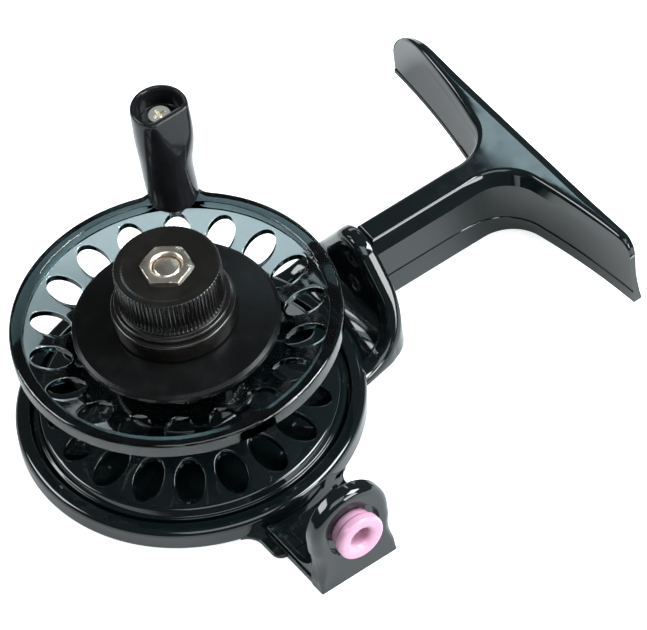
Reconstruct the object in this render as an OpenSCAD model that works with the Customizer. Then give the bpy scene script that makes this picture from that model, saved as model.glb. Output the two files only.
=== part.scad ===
// Ice fishing reel with an open spool, a screw drag and a T-shaped leg.
// Millimetres. Origin on the spool axis at the flat back of the body, +Z along the axis to the drag knob,
// +X to the rod foot, -Y to the line exit.

/* [Spool] */
// Diameter of the front flange
flange_d = 70; // [60:1:80]
// Diameter of the rear flange, which turns inside the body cup
rear_flange_d = 66; // [56:1:76]
// Width of the line space between the rims
line_w = 21.5; // [16:0.1:28]
// Diameter of the arbor that carries the line
arbor_d = 30; // [28:1:36]
// Wall of the arbor
arbor_wall = 2; // [1.6:0.1:3]
// Height of the front rim
rim_h = 3.5; // [2.5:0.1:5]
// Width of the raised rim, measured along the radius
rim_w = 2.9; // [2:0.1:4]
// Thickness of the flange web
web_t = 1.7; // [1.4:0.1:2.2]
// Slope of the conical webs, rise towards the middle of the spool per radius
web_cone = 0.3; // [0.1:0.01:0.34]
// Height of the rear rim
rear_rim_h = 2.8; // [2.2:0.1:3.4]
// Edge break of the rims
rim_break = 0.4; // [0.2:0.1:0.8]
// Number of oval holes in each flange
hole_n = 18; // [12:1:20]
// Radius of the ring of holes, as a share of the flange radius
hole_ring = 0.774; // [0.76:0.002:0.79]
// Length of an oval hole in the front flange, along the radius
hole_len = 8.9; // [6.8:0.1:9]
// Length of an oval hole in the rear flange, along the radius
rear_hole_len = 9.8; // [6.8:0.1:10]
// Width of an oval hole
hole_w = 6.2; // [4.5:0.1:6.4]
// Radius of an oval hole's ends, as a share of its width
hole_tip = 0.4; // [0.3:0.02:0.46]
// Outer diameter of the hub that holds the bushes
hub_d = 16; // [14:0.5:17]
// Outer diameter of the friction land on the front hub
land_d = 36; // [30:1:40]
// Depth of the friction land below the rim's top
land_drop = 1.8; // [1:0.1:2.4]
// Thickness of the plate under the friction land
land_t = 2.2; // [1.8:0.1:3]

/* [Spool fasteners and bearings] */
// Number of screws that hold the spool halves together
spool_screw_n = 3; // [3:1:4]
// Shank diameter of a spool screw
spool_screw_d = 2.4; // [2:0.1:2.6]
// Head diameter of a spool screw
spool_head_d = 4.2; // [3.6:0.1:4.2]
// Head height of a spool screw
spool_head_h = 1.8; // [1.2:0.1:2]
// Length of a spool screw below its head
spool_screw_l = 12; // [8:0.5:14]
// Diameter of a screw boss
spool_boss_d = 4.2; // [3.8:0.1:4.3]
// Thickness of the seat the screws pull on
seat_t = 2; // [1.6:0.1:2.6]
// Outer diameter of a bush
bush_d = 9; // [8:0.1:10]
// Length of a bush
bush_l = 4; // [3:0.5:5]

/* [Crank] */
// Distance of the crank knob from the spool axis
crank_r = 33.9; // [28:0.1:36]
// Direction of the crank ear at rest
crank_az = 55.9; // [0:0.1:360]
// Radius of the ear around the crank screw
ear_r = 5.5; // [5:0.1:7]
// Fillet between the ear and the rim
ear_fillet = 4; // [2:0.1:6]
// Height of the crank knob
knob_h = 27.7; // [18:0.1:34]
// Diameter of the crank knob at its foot
knob_foot_d = 10.9; // [8:0.1:11]
// Diameter of the crank knob at its waist
knob_waist_d = 11.2; // [8:0.1:12]
// Diameter of the crank knob at its grip
knob_grip_d = 12.8; // [10:0.1:14]
// Diameter of the crank knob at its mouth
knob_mouth_d = 12.4; // [10:0.1:14]
// Share of the crank knob's height where its waist starts
waist_low = 0.2; // [0.1:0.01:0.3]
// Share of the crank knob's height where its waist ends
waist_high = 0.42; // [0.35:0.01:0.5]
// Share of the crank knob's height where its grip starts
grip_low = 0.67; // [0.6:0.01:0.72]
// Share of the crank knob's height where its grip ends
grip_high = 0.79; // [0.75:0.01:0.85]
// Wall around the screw recess in the crank knob
knob_wall = 1.3; // [1:0.1:2]
// Depth of the screw recess
knob_recess = 5; // [3:0.1:8]
// Distance from the knob's axis to the thumb flat at the mouth
flat_off = 4.3; // [3.9:0.1:5.2]
// Slope of the thumb flat, degrees
flat_tilt = 13; // [5:0.5:20]
// Shank diameter of the crank screw
crank_screw_d = 3; // [2.5:0.1:3.6]
// Head diameter of the crank screw
crank_head_d = 5.8; // [4.6:0.1:6]
// Head height of the crank screw
crank_head_h = 2.2; // [1.6:0.1:2.6]
// Length of screw that shows below the ear
crank_tip = 1.3; // [0:0.1:2]
// Diameter of the screw boss inside the rim
crank_boss_d = 4.6; // [4.2:0.1:4.7]

/* [Drag] */
// Diameter of the axle thread
axle_d = 6; // [5:1:6]
// Width across flats of the axle's hex head and nuts
hex_af = 10; // [8:1:10]
// Height of the bolt head
bolt_head_h = 4; // [3.5:0.1:4.5]
// Height of the axle nut
axle_nut_h = 4; // [3:0.1:5]
// Thickness of the plain washers
washer_t = 1.2; // [0.8:0.1:1.6]
// Outer diameter of the plain washers
washer_d = 12; // [11:0.1:13]
// Thickness of the felt washer
felt_t = 0.7; // [0.5:0.1:1.2]
// Diameter of the pressure disc
disc_d = 43.8; // [38:0.2:46]
// Thickness of the pressure disc at its middle
disc_t = 1.2; // [1:0.1:2]
// Depth of the lip round the pressure disc
disc_lip = 1.1; // [0.6:0.1:1.4]
// Outer diameter of the drag washer and disc springs
spring_d = 16; // [12:0.5:17]
// Thickness of a disc spring
spring_t = 0.8; // [0.6:0.1:1]
// Cone height of a disc spring
spring_cone = 1; // [0.6:0.1:1.2]
// Diameter of the drag knob's skirt
skirt_d = 26.2; // [22:0.2:30]
// Height of the skirt
skirt_h = 4.6; // [3:0.1:6]
// Diameter of the knurled top
knurl_d = 22.6; // [18:0.2:24]
// Height of the knurled top
knurl_h = 8.9; // [6:0.1:11]
// Number of flutes in the knurl
flute_n = 76; // [40:1:90]
// Radius of one flute
flute_r = 0.34; // [0.2:0.02:0.36]
// Height of the two rings between skirt and knurl together
ring_h = 1.9; // [1.4:0.1:3]
// Height of the nut in the knob
knob_nut_h = 5.2; // [4:0.1:5.5]
// How far the nut stands out of the knob
nut_proud = 0.6; // [0.2:0.1:1]
// Depth of the dish in the knob's top
dish = 0.15; // [0.1:0.05:0.5]
// Edge break of the axle's end and of the nut's thread
thread_break = 0.5; // [0.3:0.1:0.9]
// Turn of the nut in the drag knob at rest
nut_turn = 20.5; // [0:0.5:60]
// Depth of the axle's end below the nut's face
axle_sunk = 0.6; // [0.2:0.1:2]

/* [Body] */
// Outer diameter of the body cup
body_d = 74.4; // [66:0.2:84]
// Depth of the body cup
body_h = 5; // [4.5:0.1:7]
// Radial gap between the rear flange and the cup
cup_gap = 0.9; // [0.6:0.1:1.5]
// Thickness of the cup's floor
floor_t = 2.4; // [2:0.1:2.5]
// Gap between the rear rim and the floor
floor_gap = 0.8; // [0.5:0.1:1.2]
// Diameter of the boss round the axle
boss_d = 16.4; // [15.6:0.1:16.6]
// Height of the boss round the axle
boss_h = 7; // [6.6:0.1:7.2]
// Number of low ribs on the floor
rib_n = 6; // [3:1:9]
// Height of a floor rib
rib_h = 0.4; // [0.2:0.1:0.5]
// Thickness of a floor rib
rib_t = 1.8; // [1.2:0.1:2.4]

/* [Lug] */
// Distance from the spool axis to the lug's outer face
lug_reach = 47; // [43:0.5:54]
// Thickness of the lug's upright plate
lug_t = 4; // [3.4:0.1:6]
// Height of the lug's round top
lug_h = 23.2; // [22.4:0.1:28]
// Radius of the lug's round top
lug_top_r = 7.1; // [5.5:0.1:9]
// Half width of the lug at its foot
lug_half_w = 17; // [14:0.5:20]
// Slope of the plate's straight sides
lug_slope = 37.5; // [25:0.5:42]
// Corner radius of the lug's foot
lug_corner = 8; // [4:0.5:9]
// Thickness of the lug's foot
lug_floor = 3; // [2.4:0.1:4]
// Width of the rim round the lug's pocket
lug_rim = 3.6; // [2.5:0.1:5]
// Depth of the pocket
lug_pocket = 2; // [1:0.1:2.2]
// Radius of the scoop between the lug's foot and its plate
scoop_r = 10; // [6:0.5:11]

/* [Leg] */
// Distance from the spool axis to the rod
leg_reach = 89.5; // [75:0.5:105]
// Width of the leg along the spool axis
leg_w = 18.3; // [14:0.1:18.6]
// Height of the leg's lower side above the back
leg_z = 3.7; // [3:0.1:6]
// Thickness of the stem
stem_t = 5.8; // [5:0.1:8]
// Width of the bevel along the stem's lower edges
stem_bevel = 1; // [0.4:0.1:1.5]
// Height of that bevel
stem_bevel_h = 5; // [2:0.5:7]
// Thickness of the foot at the stem
foot_root = 5.9; // [4.5:0.1:8]
// Fillet between stem and foot
foot_fillet = 9.6; // [5:0.1:12]
// Radius of the long curve of the arms
arm_curve = 190; // [150:5:260]
// Angle of the arms where they leave the fillet
arm_angle = 12.4; // [8:0.1:13]
// Length of the front arm, to the line exit
front_arm = 39.2; // [30:0.2:44]
// Length of the back arm
back_arm = 47.6; // [34:0.2:50]
// Corner radius of the front arm's end
front_corner = 3.8; // [2:0.1:8]
// Corner radius of the back arm's end
back_corner = 14; // [6:0.5:16]
// Depth of the hollow that seats the rod
saddle = 0.8; // [0.3:0.1:1]
// Shank diameter of a leg screw
leg_screw_d = 3; // [2.4:0.1:3.4]
// Head diameter of a leg screw
leg_head_d = 5.4; // [4.6:0.1:6]
// Head height of a leg screw
leg_head_h = 1.7; // [1.2:0.1:2]
// Length of a leg screw in the stem
leg_screw_l = 14; // [8:0.5:20]
// Distance between the two leg screws
leg_screw_gap = 8.5; // [6:0.5:10]

/* [Line guide] */
// Sideways position of the guide plate's middle
guide_x = 1.9; // [-4:0.1:8]
// Distance from the spool axis to the guide plate's front face
guide_reach = 58; // [52:0.5:66]
// Width of the guide plate
guide_w = 19; // [15:0.1:22]
// Height of the guide plate
guide_h = 24.5; // [20:0.1:28]
// Thickness of the guide plate
guide_t = 4; // [3:0.1:6]
// Depth of the waist in the plate's sides
waist = 0.5; // [0.2:0.1:0.9]
// Height of the ring's centre above the back
ring_z = 13.8; // [10:0.1:15]
// Outer diameter of the guide ring
ring_d = 10.8; // [8:0.1:12]
// Bore of the guide ring
ring_bore = 4.6; // [3:0.1:6]
// How far the ring stands out of the plate
ring_proud = 3.2; // [0.8:0.1:3.6]
// Radial gap of the recess round the ring
ring_recess = 0.9; // [0.4:0.1:1.2]
// Depth of the recess round the ring
ring_recess_h = 1.2; // [0.5:0.1:2]
// Thickness of the tab
tab_t = 1.6; // [1.2:0.1:2.4]
// Height of the tab's side rails
rail_h = 2.6; // [2.2:0.1:3.4]
// Thickness of the tab's side rails
rail_t = 1.3; // [1:0.1:2]
// How far the rails rise where they meet the plate
rail_rise = 4.5; // [2:0.1:6]
// Radius of that rise
rail_sweep = 8; // [6:0.5:10]
// How far the body's spur reaches past the cup
spur_len = 7.8; // [5:0.1:10]
// How far the spur is wider than the tab, each side
spur_side = 2; // [1:0.1:3]
// Thickness of the spur
spur_t = 1; // [0.8:0.1:1.1]
// Corner radius of the spur
spur_corner = 2.4; // [1:0.1:3]
// Fillet between the spur and the cup
spur_fillet = 4; // [2:0.1:6]
// Diameter of the peg that locks the tab
peg_d = 3; // [2:0.1:4]

/* [Hidden] */
$fn = 64;
eps = 0.01;
fit = 0.03;
run_fit = 0.04;
run_gap = 0.1;
air = 0.3;
far = 200;

flange_r = flange_d / 2;
rear_r = rear_flange_d / 2;
rim_in = flange_r - rim_w;
rear_rim_in = rear_r - rim_w;
cup_r = rear_r + cup_gap;
rear_z = floor_t + floor_gap;
rear_rim_top = rear_z + rear_rim_h;
front_rim_low = rear_rim_top + line_w;
spool_top = front_rim_low + rim_h;
land_top = spool_top - land_drop;
land_low = land_top - land_t;

// Height of the front web's line side and of the rear web's line side at a radius
function front_low(r) = front_rim_low - web_cone * (flange_r - rim_break - r);
function rear_top(r) = rear_rim_top + web_cone * (rear_r - rim_break - r);

arbor_r = arbor_d / 2;
arbor_in = arbor_r - arbor_wall;
arbor_top = front_low(arbor_r);
arbor_low = rear_top(arbor_r) - web_t;
spool_screw_ring = arbor_in - spool_head_d / 2 - run_gap;
hub_r = hub_d / 2;
bush_r = bush_d / 2;
axle_r = axle_d / 2;
hex_r = hex_af / 2 / cos(30);
head_pocket_h = bolt_head_h + run_gap;
axle_washer_z = boss_h;
axle_nut_z = axle_washer_z + washer_t;
thrust_z = axle_nut_z + axle_nut_h;
hub_z = thrust_z + washer_t + run_gap;
seat_z = arbor_low;
seat_top = seat_z + seat_t;
hub_land = spool_screw_ring - spool_screw_d;

felt_z = land_top + run_gap;
disc_z = felt_z + felt_t;
disc_top = disc_z + disc_t;
disc_r = disc_d / 2;
spring_z = disc_top + washer_t;
spring_step = spring_t + spring_cone;
spring_top = spring_z + 2 * spring_step;
drag_z = disc_top + air;
cavity_r = spring_d / 2 + 2 * air;
skirt_top = drag_z + skirt_h;
knurl_z = skirt_top + ring_h;
drag_top = knurl_z + knurl_h;
nut_top = drag_top + nut_proud;
nut_z = nut_top - knob_nut_h;
axle_top = nut_top - axle_sunk;
axle_hole_r = axle_r + run_fit;
dish_r = knurl_d / 2 - rim_break * 5;

knob_z = spool_top + air;
knob_top = knob_z + knob_h;
recess_z = knob_top - knob_recess;
crank_hole_r = crank_screw_d / 2 + run_fit;
ear_far = flange_r + ear_fillet - run_gap;
ear_near = ear_r + ear_fillet - run_gap;
ear_u = (ear_far * ear_far - ear_near * ear_near + crank_r * crank_r) / (2 * crank_r);
ear_v = sqrt(ear_far * ear_far - ear_u * ear_u);
ear_z = front_rim_low + 2 * rim_break;
ear_top = spool_top - rim_break / 2;
crank_boss_z = front_rim_low - rim_break;

lug_in = lug_reach - lug_t;
lug_top_z = lug_h - lug_top_r;
leg_mid = leg_z + leg_w / 2;
stem_half = stem_t / 2;
fillet_x = leg_reach - foot_root - foot_fillet * cos(arm_angle);
fillet_y = stem_half + foot_fillet;
arm_x = fillet_x - (arm_curve - foot_fillet) * cos(arm_angle);
arm_y = fillet_y + (arm_curve - foot_fillet) * sin(arm_angle);
saddle_half = leg_w / 2 - rim_break;
saddle_r = (saddle_half * saddle_half + saddle * saddle) / (2 * saddle);

guide_half = guide_w / 2;
guide_back = guide_reach - guide_t;
spur_y = body_d / 2 + spur_len;
tab_y = body_d / 2 + run_gap;
ring_r = ring_d / 2;
lip_r = ring_r / 2 - ring_bore / 4;
barrel_r = ring_r - lip_r / 2;

// Ring of revolution between two radii
module ring(z, h, ro, ri) {
    translate([0, 0, z]) difference() {
        cylinder(h = h, r = ro);
        translate([0, 0, -eps]) cylinder(h = h + 2 * eps, r = ri);
    }
}

// Oval of four arcs, long side along X
module oval(l, w) {
    tip = w * hole_tip;
    c = l / 2 - tip;
    b = w / 2;
    side = (c * c + b * b - tip * tip) / (2 * (b - tip));
    x = c * side / (side - tip);
    intersection() {
        translate([0, b - side]) circle(r = side, $fn = 128);
        translate([0, side - b]) circle(r = side, $fn = 128);
        square([2 * x, w + 2 * eps], center = true);
    }
    translate([c, 0]) circle(r = tip);
    translate([-c, 0]) circle(r = tip);
}

// Ring of oval holes through a flange
module hole_ring_cut(r, l, z, h) {
    for (i = [0 : hole_n - 1]) rotate(crank_az + i * 360 / hole_n)
        translate([r * hole_ring, 0, z]) linear_extrude(h) oval(l, hole_w);
}

// Places a child at each spool screw
module at_spool_screws() {
    for (i = [0 : spool_screw_n - 1]) rotate(i * 360 / spool_screw_n)
        translate([spool_screw_ring, 0, 0]) children();
}

// Moves to the crank's own axis
module at_crank() {
    rotate(crank_az) translate([crank_r, 0, 0]) rotate(-crank_az) children();
}

// Outline of the lug's upright plate, X across and Y up
module lug_outline(inset) {
    r = lug_top_r - inset;
    line = r - run_gap;
    low_w = (line + (lug_top_z - inset) * sin(lug_slope)) / cos(lug_slope);
    side_w = line * cos(lug_slope);
    side_z = lug_top_z + line * sin(lug_slope);
    translate([0, lug_top_z]) circle(r = r);
    polygon([[-low_w, inset], [low_w, inset], [side_w, side_z], [-side_w, side_z]]);
}

// Plan of the lug's foot
module lug_plan(inset) {
    w = lug_half_w - inset;
    r = lug_corner - inset;
    x = lug_reach - inset;
    polygon([[0, -w], [x - r, -w], [x, -(w - r)], [x, w - r], [x - r, w], [0, w]]);
    translate([x - r, -(w - r)]) circle(r = r);
    translate([x - r, w - r]) circle(r = r);
}

// Side view of the lug, X to the foot and Y up, with its scooped face moved out by a depth
module lug_side(depth) {
    difference() {
        square([lug_reach, lug_h]);
        translate([-eps, lug_floor + scoop_r]) square([lug_in + depth + eps, lug_h]);
        translate([lug_in - scoop_r, lug_floor + scoop_r]) circle(r = scoop_r + depth);
        translate([-eps, lug_floor - depth]) square([lug_in - scoop_r + eps, lug_h]);
    }
}

// Plan of the spur under the guide's tab
module spur_plan() {
    w = guide_half + spur_side;
    difference() {
        union() {
            translate([guide_x - w, -spur_y + spur_corner]) square([2 * w, spur_y - spur_corner]);
            translate([guide_x - w + spur_corner, -spur_y]) square([2 * (w - spur_corner), spur_y]);
            for (s = [-1, 1]) translate([guide_x + s * (w - spur_corner), -spur_y + spur_corner])
                circle(r = spur_corner);
            for (s = [-1, 1]) spur_blend(guide_x + s * (w - run_gap), s);
        }
        circle(r = body_d / 2 - rim_break);
    }
}

// Fillet between one side of the spur and the cup
module spur_blend(x, s) {
    cx = x + s * spur_fillet;
    reach = body_d / 2 + spur_fillet - run_gap;
    cy = -sqrt(reach * reach - cx * cx);
    difference() {
        polygon([[x, cy], [cx, cy], [0, 0], [x, 0]]);
        translate([cx, cy]) circle(r = spur_fillet);
    }
}

module body() {
    color([0.16, 0.20, 0.22, 0.8]) difference() {
        union() {
            rotate_extrude() polygon([[0, 0], [body_d / 2 - rim_break, 0], [body_d / 2, rim_break],
                [body_d / 2, body_h - rim_break], [body_d / 2 - rim_break, body_h],
                [cup_r + rim_break, body_h], [cup_r, body_h - rim_break], [cup_r, floor_t], [0, floor_t]]);
            cylinder(h = boss_h, d = boss_d);
            for (i = [0 : rib_n - 1]) rotate((i + 0.5) * 360 / rib_n)
                translate([boss_d / 4, -rib_t / 2, 0])
                    cube([cup_r - boss_d / 4 + eps, rib_t, floor_t + rib_h]);
            difference() {
                intersection() {
                    linear_extrude(lug_h) lug_plan(0);
                    rotate([90, 0, 0]) linear_extrude(2 * lug_half_w, center = true) lug_side(0);
                    union() {
                        linear_extrude(lug_floor) square([2 * lug_reach, 2 * lug_half_w], center = true);
                        rotate([90, 0, 90]) linear_extrude(lug_reach) lug_outline(0);
                    }
                }
                translate([0, 0, -eps]) cylinder(h = lug_h + 2 * eps, r = body_d / 2 - rim_break);
                intersection() {
                    rotate([90, 0, 0]) linear_extrude(2 * lug_half_w, center = true) difference() {
                        square([lug_in + lug_pocket, lug_h]);
                        lug_side(lug_pocket);
                    }
                    translate([0, 0, run_gap]) rotate([90, 0, 90])
                        linear_extrude(lug_reach) lug_outline(lug_rim);
                }
                for (s = [-1, 1]) translate([lug_in - lug_t, 0, leg_mid + s * leg_screw_gap / 2])
                    rotate([0, 90, 0]) {
                        cylinder(h = 2 * lug_t + eps, d = leg_screw_d + 2 * fit);
                        cylinder(h = lug_t + lug_pocket, d = leg_head_d + 2 * run_gap);
                    }
            }
            linear_extrude(spur_t) spur_plan();
        }
        translate([0, 0, -eps]) cylinder(h = boss_h + 2 * eps, r = axle_hole_r);
        translate([0, 0, -eps]) cylinder(h = head_pocket_h + eps, r = hex_r + fit, $fn = 6);
        translate([guide_x, -(spur_y - peg_d), -eps]) cylinder(h = spur_t + 2 * eps, d = peg_d + 2 * fit);
    }
}

// Empty corner between stem and one arm, on the +Y side
module leg_corner() {
    translate([0, stem_half]) square([fillet_x + run_gap, far]);
    translate([fillet_x + run_gap, fillet_y]) circle(r = foot_fillet);
    intersection() {
        translate([arm_x, arm_y]) circle(r = arm_curve, $fn = 128);
        translate([0, fillet_y - foot_fillet * sin(arm_angle)]) square([far, far]);
    }
}

// End view of the leg along the stem, Y across and Z up
module leg_ends() {
    difference() {
        translate([-front_arm, leg_z]) square([front_arm + back_arm, leg_w]);
        translate([-front_arm - eps, leg_z + leg_w - front_corner]) square(front_corner + eps);
        translate([back_arm - back_corner, leg_z + leg_w - back_corner]) square(back_corner + eps);
    }
    translate([-front_arm + front_corner, leg_z + leg_w - front_corner]) circle(r = front_corner);
    intersection() {
        translate([back_arm - back_corner, leg_z + leg_w - back_corner]) circle(r = back_corner);
        translate([0, leg_z]) square([far, leg_w]);
    }
}

module leg() {
    color([0.16, 0.20, 0.22, 0.8]) difference() {
        intersection() {
            translate([0, 0, leg_z]) linear_extrude(leg_w) difference() {
                translate([lug_reach, -front_arm]) square([leg_reach - lug_reach, front_arm + back_arm]);
                leg_corner();
                mirror([0, 1, 0]) leg_corner();
            }
            rotate([90, 0, 90]) linear_extrude(leg_reach + eps) leg_ends();
        }
        translate([leg_reach - saddle + saddle_r, 0, leg_mid]) rotate([90, 0, 0])
            cylinder(h = far, r = saddle_r, center = true, $fn = 128);
        for (s = [-1, 1]) rotate([90, 0, 90]) linear_extrude(fillet_x - stem_t) polygon([
            [s * (stem_half + eps), leg_z + stem_bevel_h], [s * (stem_half + eps), leg_z - eps],
            [s * (stem_half - stem_bevel), leg_z - eps]]);
        for (s = [-1, 1]) translate([lug_reach - eps, 0, leg_mid + s * leg_screw_gap / 2])
            rotate([0, 90, 0]) cylinder(h = leg_screw_l + 2 * eps, d = leg_screw_d + 2 * fit);
    }
}

module leg_screws() {
    color([0.75, 0.73, 0.70]) for (s = [-1, 1])
        translate([lug_in + lug_pocket - leg_head_h, 0, leg_mid + s * leg_screw_gap / 2]) rotate([0, 90, 0])
            difference() {
                union() {
                    cylinder(h = leg_head_h, d1 = leg_head_d - leg_head_h / 2, d2 = leg_head_d);
                    cylinder(h = leg_head_h + lug_t - lug_pocket + leg_screw_l - run_gap, d = leg_screw_d);
                }
                for (a = [0, 90]) rotate(a) translate([-leg_head_d / 4, -leg_head_h / 5, -eps])
                    cube([leg_head_d / 2, leg_head_h / 2.5, leg_head_h / 2]);
            }
}

// Outline of the guide plate, X across and Y up
module guide_outline() {
    arch_z = guide_h - guide_half;
    difference() {
        union() {
            translate([0, arch_z]) circle(r = guide_half);
            translate([-guide_half, 0]) square([guide_w, arch_z]);
        }
        for (s = [-1, 1]) translate([s * (guide_half - waist + arch_z), arch_z / 2]) circle(r = arch_z);
    }
}

// Side view of a rail, X along the tab and Y up
module rail_side() {
    low = spur_t + run_gap;
    centre = -guide_back + sqrt(rail_rise * (2 * rail_sweep - rail_rise));
    difference() {
        translate([-guide_back - eps, low]) square([guide_back - tab_y - eps, rail_h + rail_rise - low]);
        translate([centre, rail_h + rail_sweep]) circle(r = rail_sweep);
        translate([centre, rail_h]) square([guide_back, rail_sweep]);
    }
}

module guide_bracket() {
    color([0.14, 0.16, 0.17]) difference() {
        union() {
            translate([guide_x, -guide_back, 0]) rotate([90, 0, 0]) linear_extrude(guide_t) guide_outline();
            translate([guide_x - guide_half, -guide_back - eps, 0])
                cube([guide_w, guide_back - spur_y - run_gap + eps, tab_t]);
            translate([guide_x - guide_half, -spur_y - 2 * run_gap, spur_t + run_gap])
                cube([guide_w, spur_y - tab_y, tab_t - spur_t - run_gap]);
            for (s = [-1, 1]) translate([guide_x + s * (guide_half - waist - rail_t / 2), 0, 0])
                rotate([90, 0, 90]) linear_extrude(rail_t, center = true) rail_side();
            translate([guide_x, -(spur_y - peg_d), run_gap]) cylinder(h = tab_t - 2 * run_gap, d = peg_d);
        }
        translate([guide_x, -guide_back + eps, ring_z]) rotate([90, 0, 0])
            cylinder(h = guide_t + 2 * eps, r = barrel_r + fit);
        translate([guide_x, -guide_reach + ring_recess_h, ring_z]) rotate([90, 0, 0])
            cylinder(h = ring_recess_h + eps, r = ring_r + ring_recess);
    }
}

module guide_ring() {
    lip_back = guide_reach - ring_recess_h;
    lip_front = guide_reach + ring_proud;
    color([0.88, 0.68, 0.84]) translate([guide_x, 0, ring_z]) rotate([90, 0, 0]) rotate_extrude() {
        translate([ring_bore / 2, guide_back])
            square([barrel_r - ring_bore / 2, lip_front - lip_r - guide_back]);
        translate([ring_bore / 2, lip_back])
            square([ring_r - ring_bore / 2, lip_front - lip_r - lip_back]);
        translate([ring_bore / 2 + lip_r, lip_front - lip_r]) circle(r = lip_r);
    }
}

module axle_bolt() {
    color([0.72, 0.70, 0.66]) {
        cylinder(h = bolt_head_h, r = hex_r, $fn = 6);
        cylinder(h = axle_top - thread_break, r = axle_r);
        translate([0, 0, axle_top - thread_break - eps])
            cylinder(h = thread_break, r1 = axle_r, r2 = axle_r - thread_break);
    }
}

module axle_washer() {
    color([0.70, 0.70, 0.70]) ring(axle_washer_z, washer_t, washer_d / 2, axle_hole_r);
}

module axle_nut() {
    color([0.72, 0.70, 0.66]) translate([0, 0, axle_nut_z]) difference() {
        cylinder(h = axle_nut_h, r = hex_r, $fn = 6);
        translate([0, 0, -eps]) cylinder(h = axle_nut_h + 2 * eps, r = axle_hole_r);
    }
}

module thrust_washer() {
    color([0.85, 0.84, 0.78]) ring(thrust_z, washer_t, washer_d / 2, axle_hole_r);
}

module spool_rear() {
    color([0.18, 0.22, 0.24, 0.7]) difference() {
        union() {
            rotate_extrude() polygon([
                [arbor_in, arbor_top], [arbor_r, arbor_top], [arbor_r, rear_top(arbor_r)],
                [rear_r - rim_break, rear_rim_top], [rear_r, rear_rim_top - rim_break],
                [rear_r, rear_z + rim_break], [rear_r - rim_break, rear_z],
                [rear_rim_in + rim_break, rear_z], [rear_rim_in, rear_z + rim_break],
                [rear_rim_in, rear_top(rear_rim_in) - web_t], [arbor_r, arbor_low], [arbor_in, arbor_low]]);
            ring(seat_z, seat_t, arbor_in + eps, hub_land);
        }
        hole_ring_cut(rear_r, rear_hole_len, 0, arbor_top);
        translate([0, 0, seat_z - eps]) at_spool_screws()
            cylinder(h = seat_t + 2 * eps, d = spool_screw_d + 2 * fit);
    }
}

module spool_front() {
    land_r = land_d / 2;
    color([0.18, 0.22, 0.24, 0.7]) difference() {
        union() {
            rotate_extrude() polygon([[bush_r, land_low], [arbor_in, land_low], [arbor_in, arbor_top],
                [arbor_r, arbor_top], [flange_r - rim_break, front_rim_low],
                [flange_r, front_rim_low + rim_break],
                [flange_r, spool_top - rim_break], [flange_r - rim_break, spool_top],
                [rim_in + rim_break, spool_top], [rim_in, spool_top - rim_break],
                [rim_in, front_low(rim_in) + web_t], [land_r, front_low(land_r) + web_t],
                [land_r, land_top], [bush_r, land_top]]);
            ring(hub_z, land_low - hub_z + eps, hub_r, bush_r);
            translate([0, 0, seat_top]) at_spool_screws()
                cylinder(h = land_low - seat_top + eps, d = spool_boss_d);
            translate([0, 0, ear_z]) rotate(crank_az) linear_extrude(ear_top - ear_z) difference() {
                union() {
                    translate([crank_r, 0]) circle(r = ear_r);
                    polygon([[0, 0], [ear_u, -ear_v], [crank_r, 0], [ear_u, ear_v]]);
                }
                circle(r = (flange_r + rim_in) / 2);
                for (s = [-1, 1]) translate([ear_u, s * ear_v]) circle(r = ear_fillet);
            }
            translate([0, 0, crank_boss_z]) at_crank()
                cylinder(h = spool_top - crank_boss_z + run_gap, d = crank_boss_d);
        }
        hole_ring_cut(flange_r, hole_len, arbor_top, land_top - arbor_top);
        translate([0, 0, seat_top - eps]) at_spool_screws()
            cylinder(h = spool_screw_l, d = spool_screw_d + 2 * fit);
        translate([0, 0, crank_boss_z - web_t]) at_crank()
            cylinder(h = spool_top - crank_boss_z + web_t + air, d = crank_screw_d + 2 * fit);
    }
}

module spool_screws() {
    color([0.75, 0.73, 0.70]) at_spool_screws() translate([0, 0, seat_z - spool_head_h]) {
        cylinder(h = spool_head_h, d = spool_head_d);
        cylinder(h = spool_head_h + spool_screw_l, d = spool_screw_d);
    }
}

module bush_rear() {
    color([0.80, 0.66, 0.36]) ring(hub_z + run_gap, bush_l, bush_r - fit, axle_hole_r);
}

module bush_front() {
    color([0.80, 0.66, 0.36]) ring(land_top - air - bush_l, bush_l, bush_r - fit, axle_hole_r);
}

module crank_screw() {
    tip_z = front_rim_low - crank_tip;
    color([0.78, 0.76, 0.72]) at_crank() difference() {
        union() {
            translate([0, 0, tip_z]) cylinder(h = recess_z - tip_z + run_gap + eps, d = crank_screw_d);
            translate([0, 0, recess_z + run_gap])
                cylinder(h = crank_head_h, d1 = crank_head_d, d2 = crank_head_d - crank_head_h / 2);
        }
        for (a = [0, 90]) rotate(a)
            translate([-crank_head_d / 4, -crank_head_h / 6, recess_z + crank_head_h / 2])
                cube([crank_head_d / 2, crank_head_h / 3, crank_head_h]);
    }
}

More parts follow.
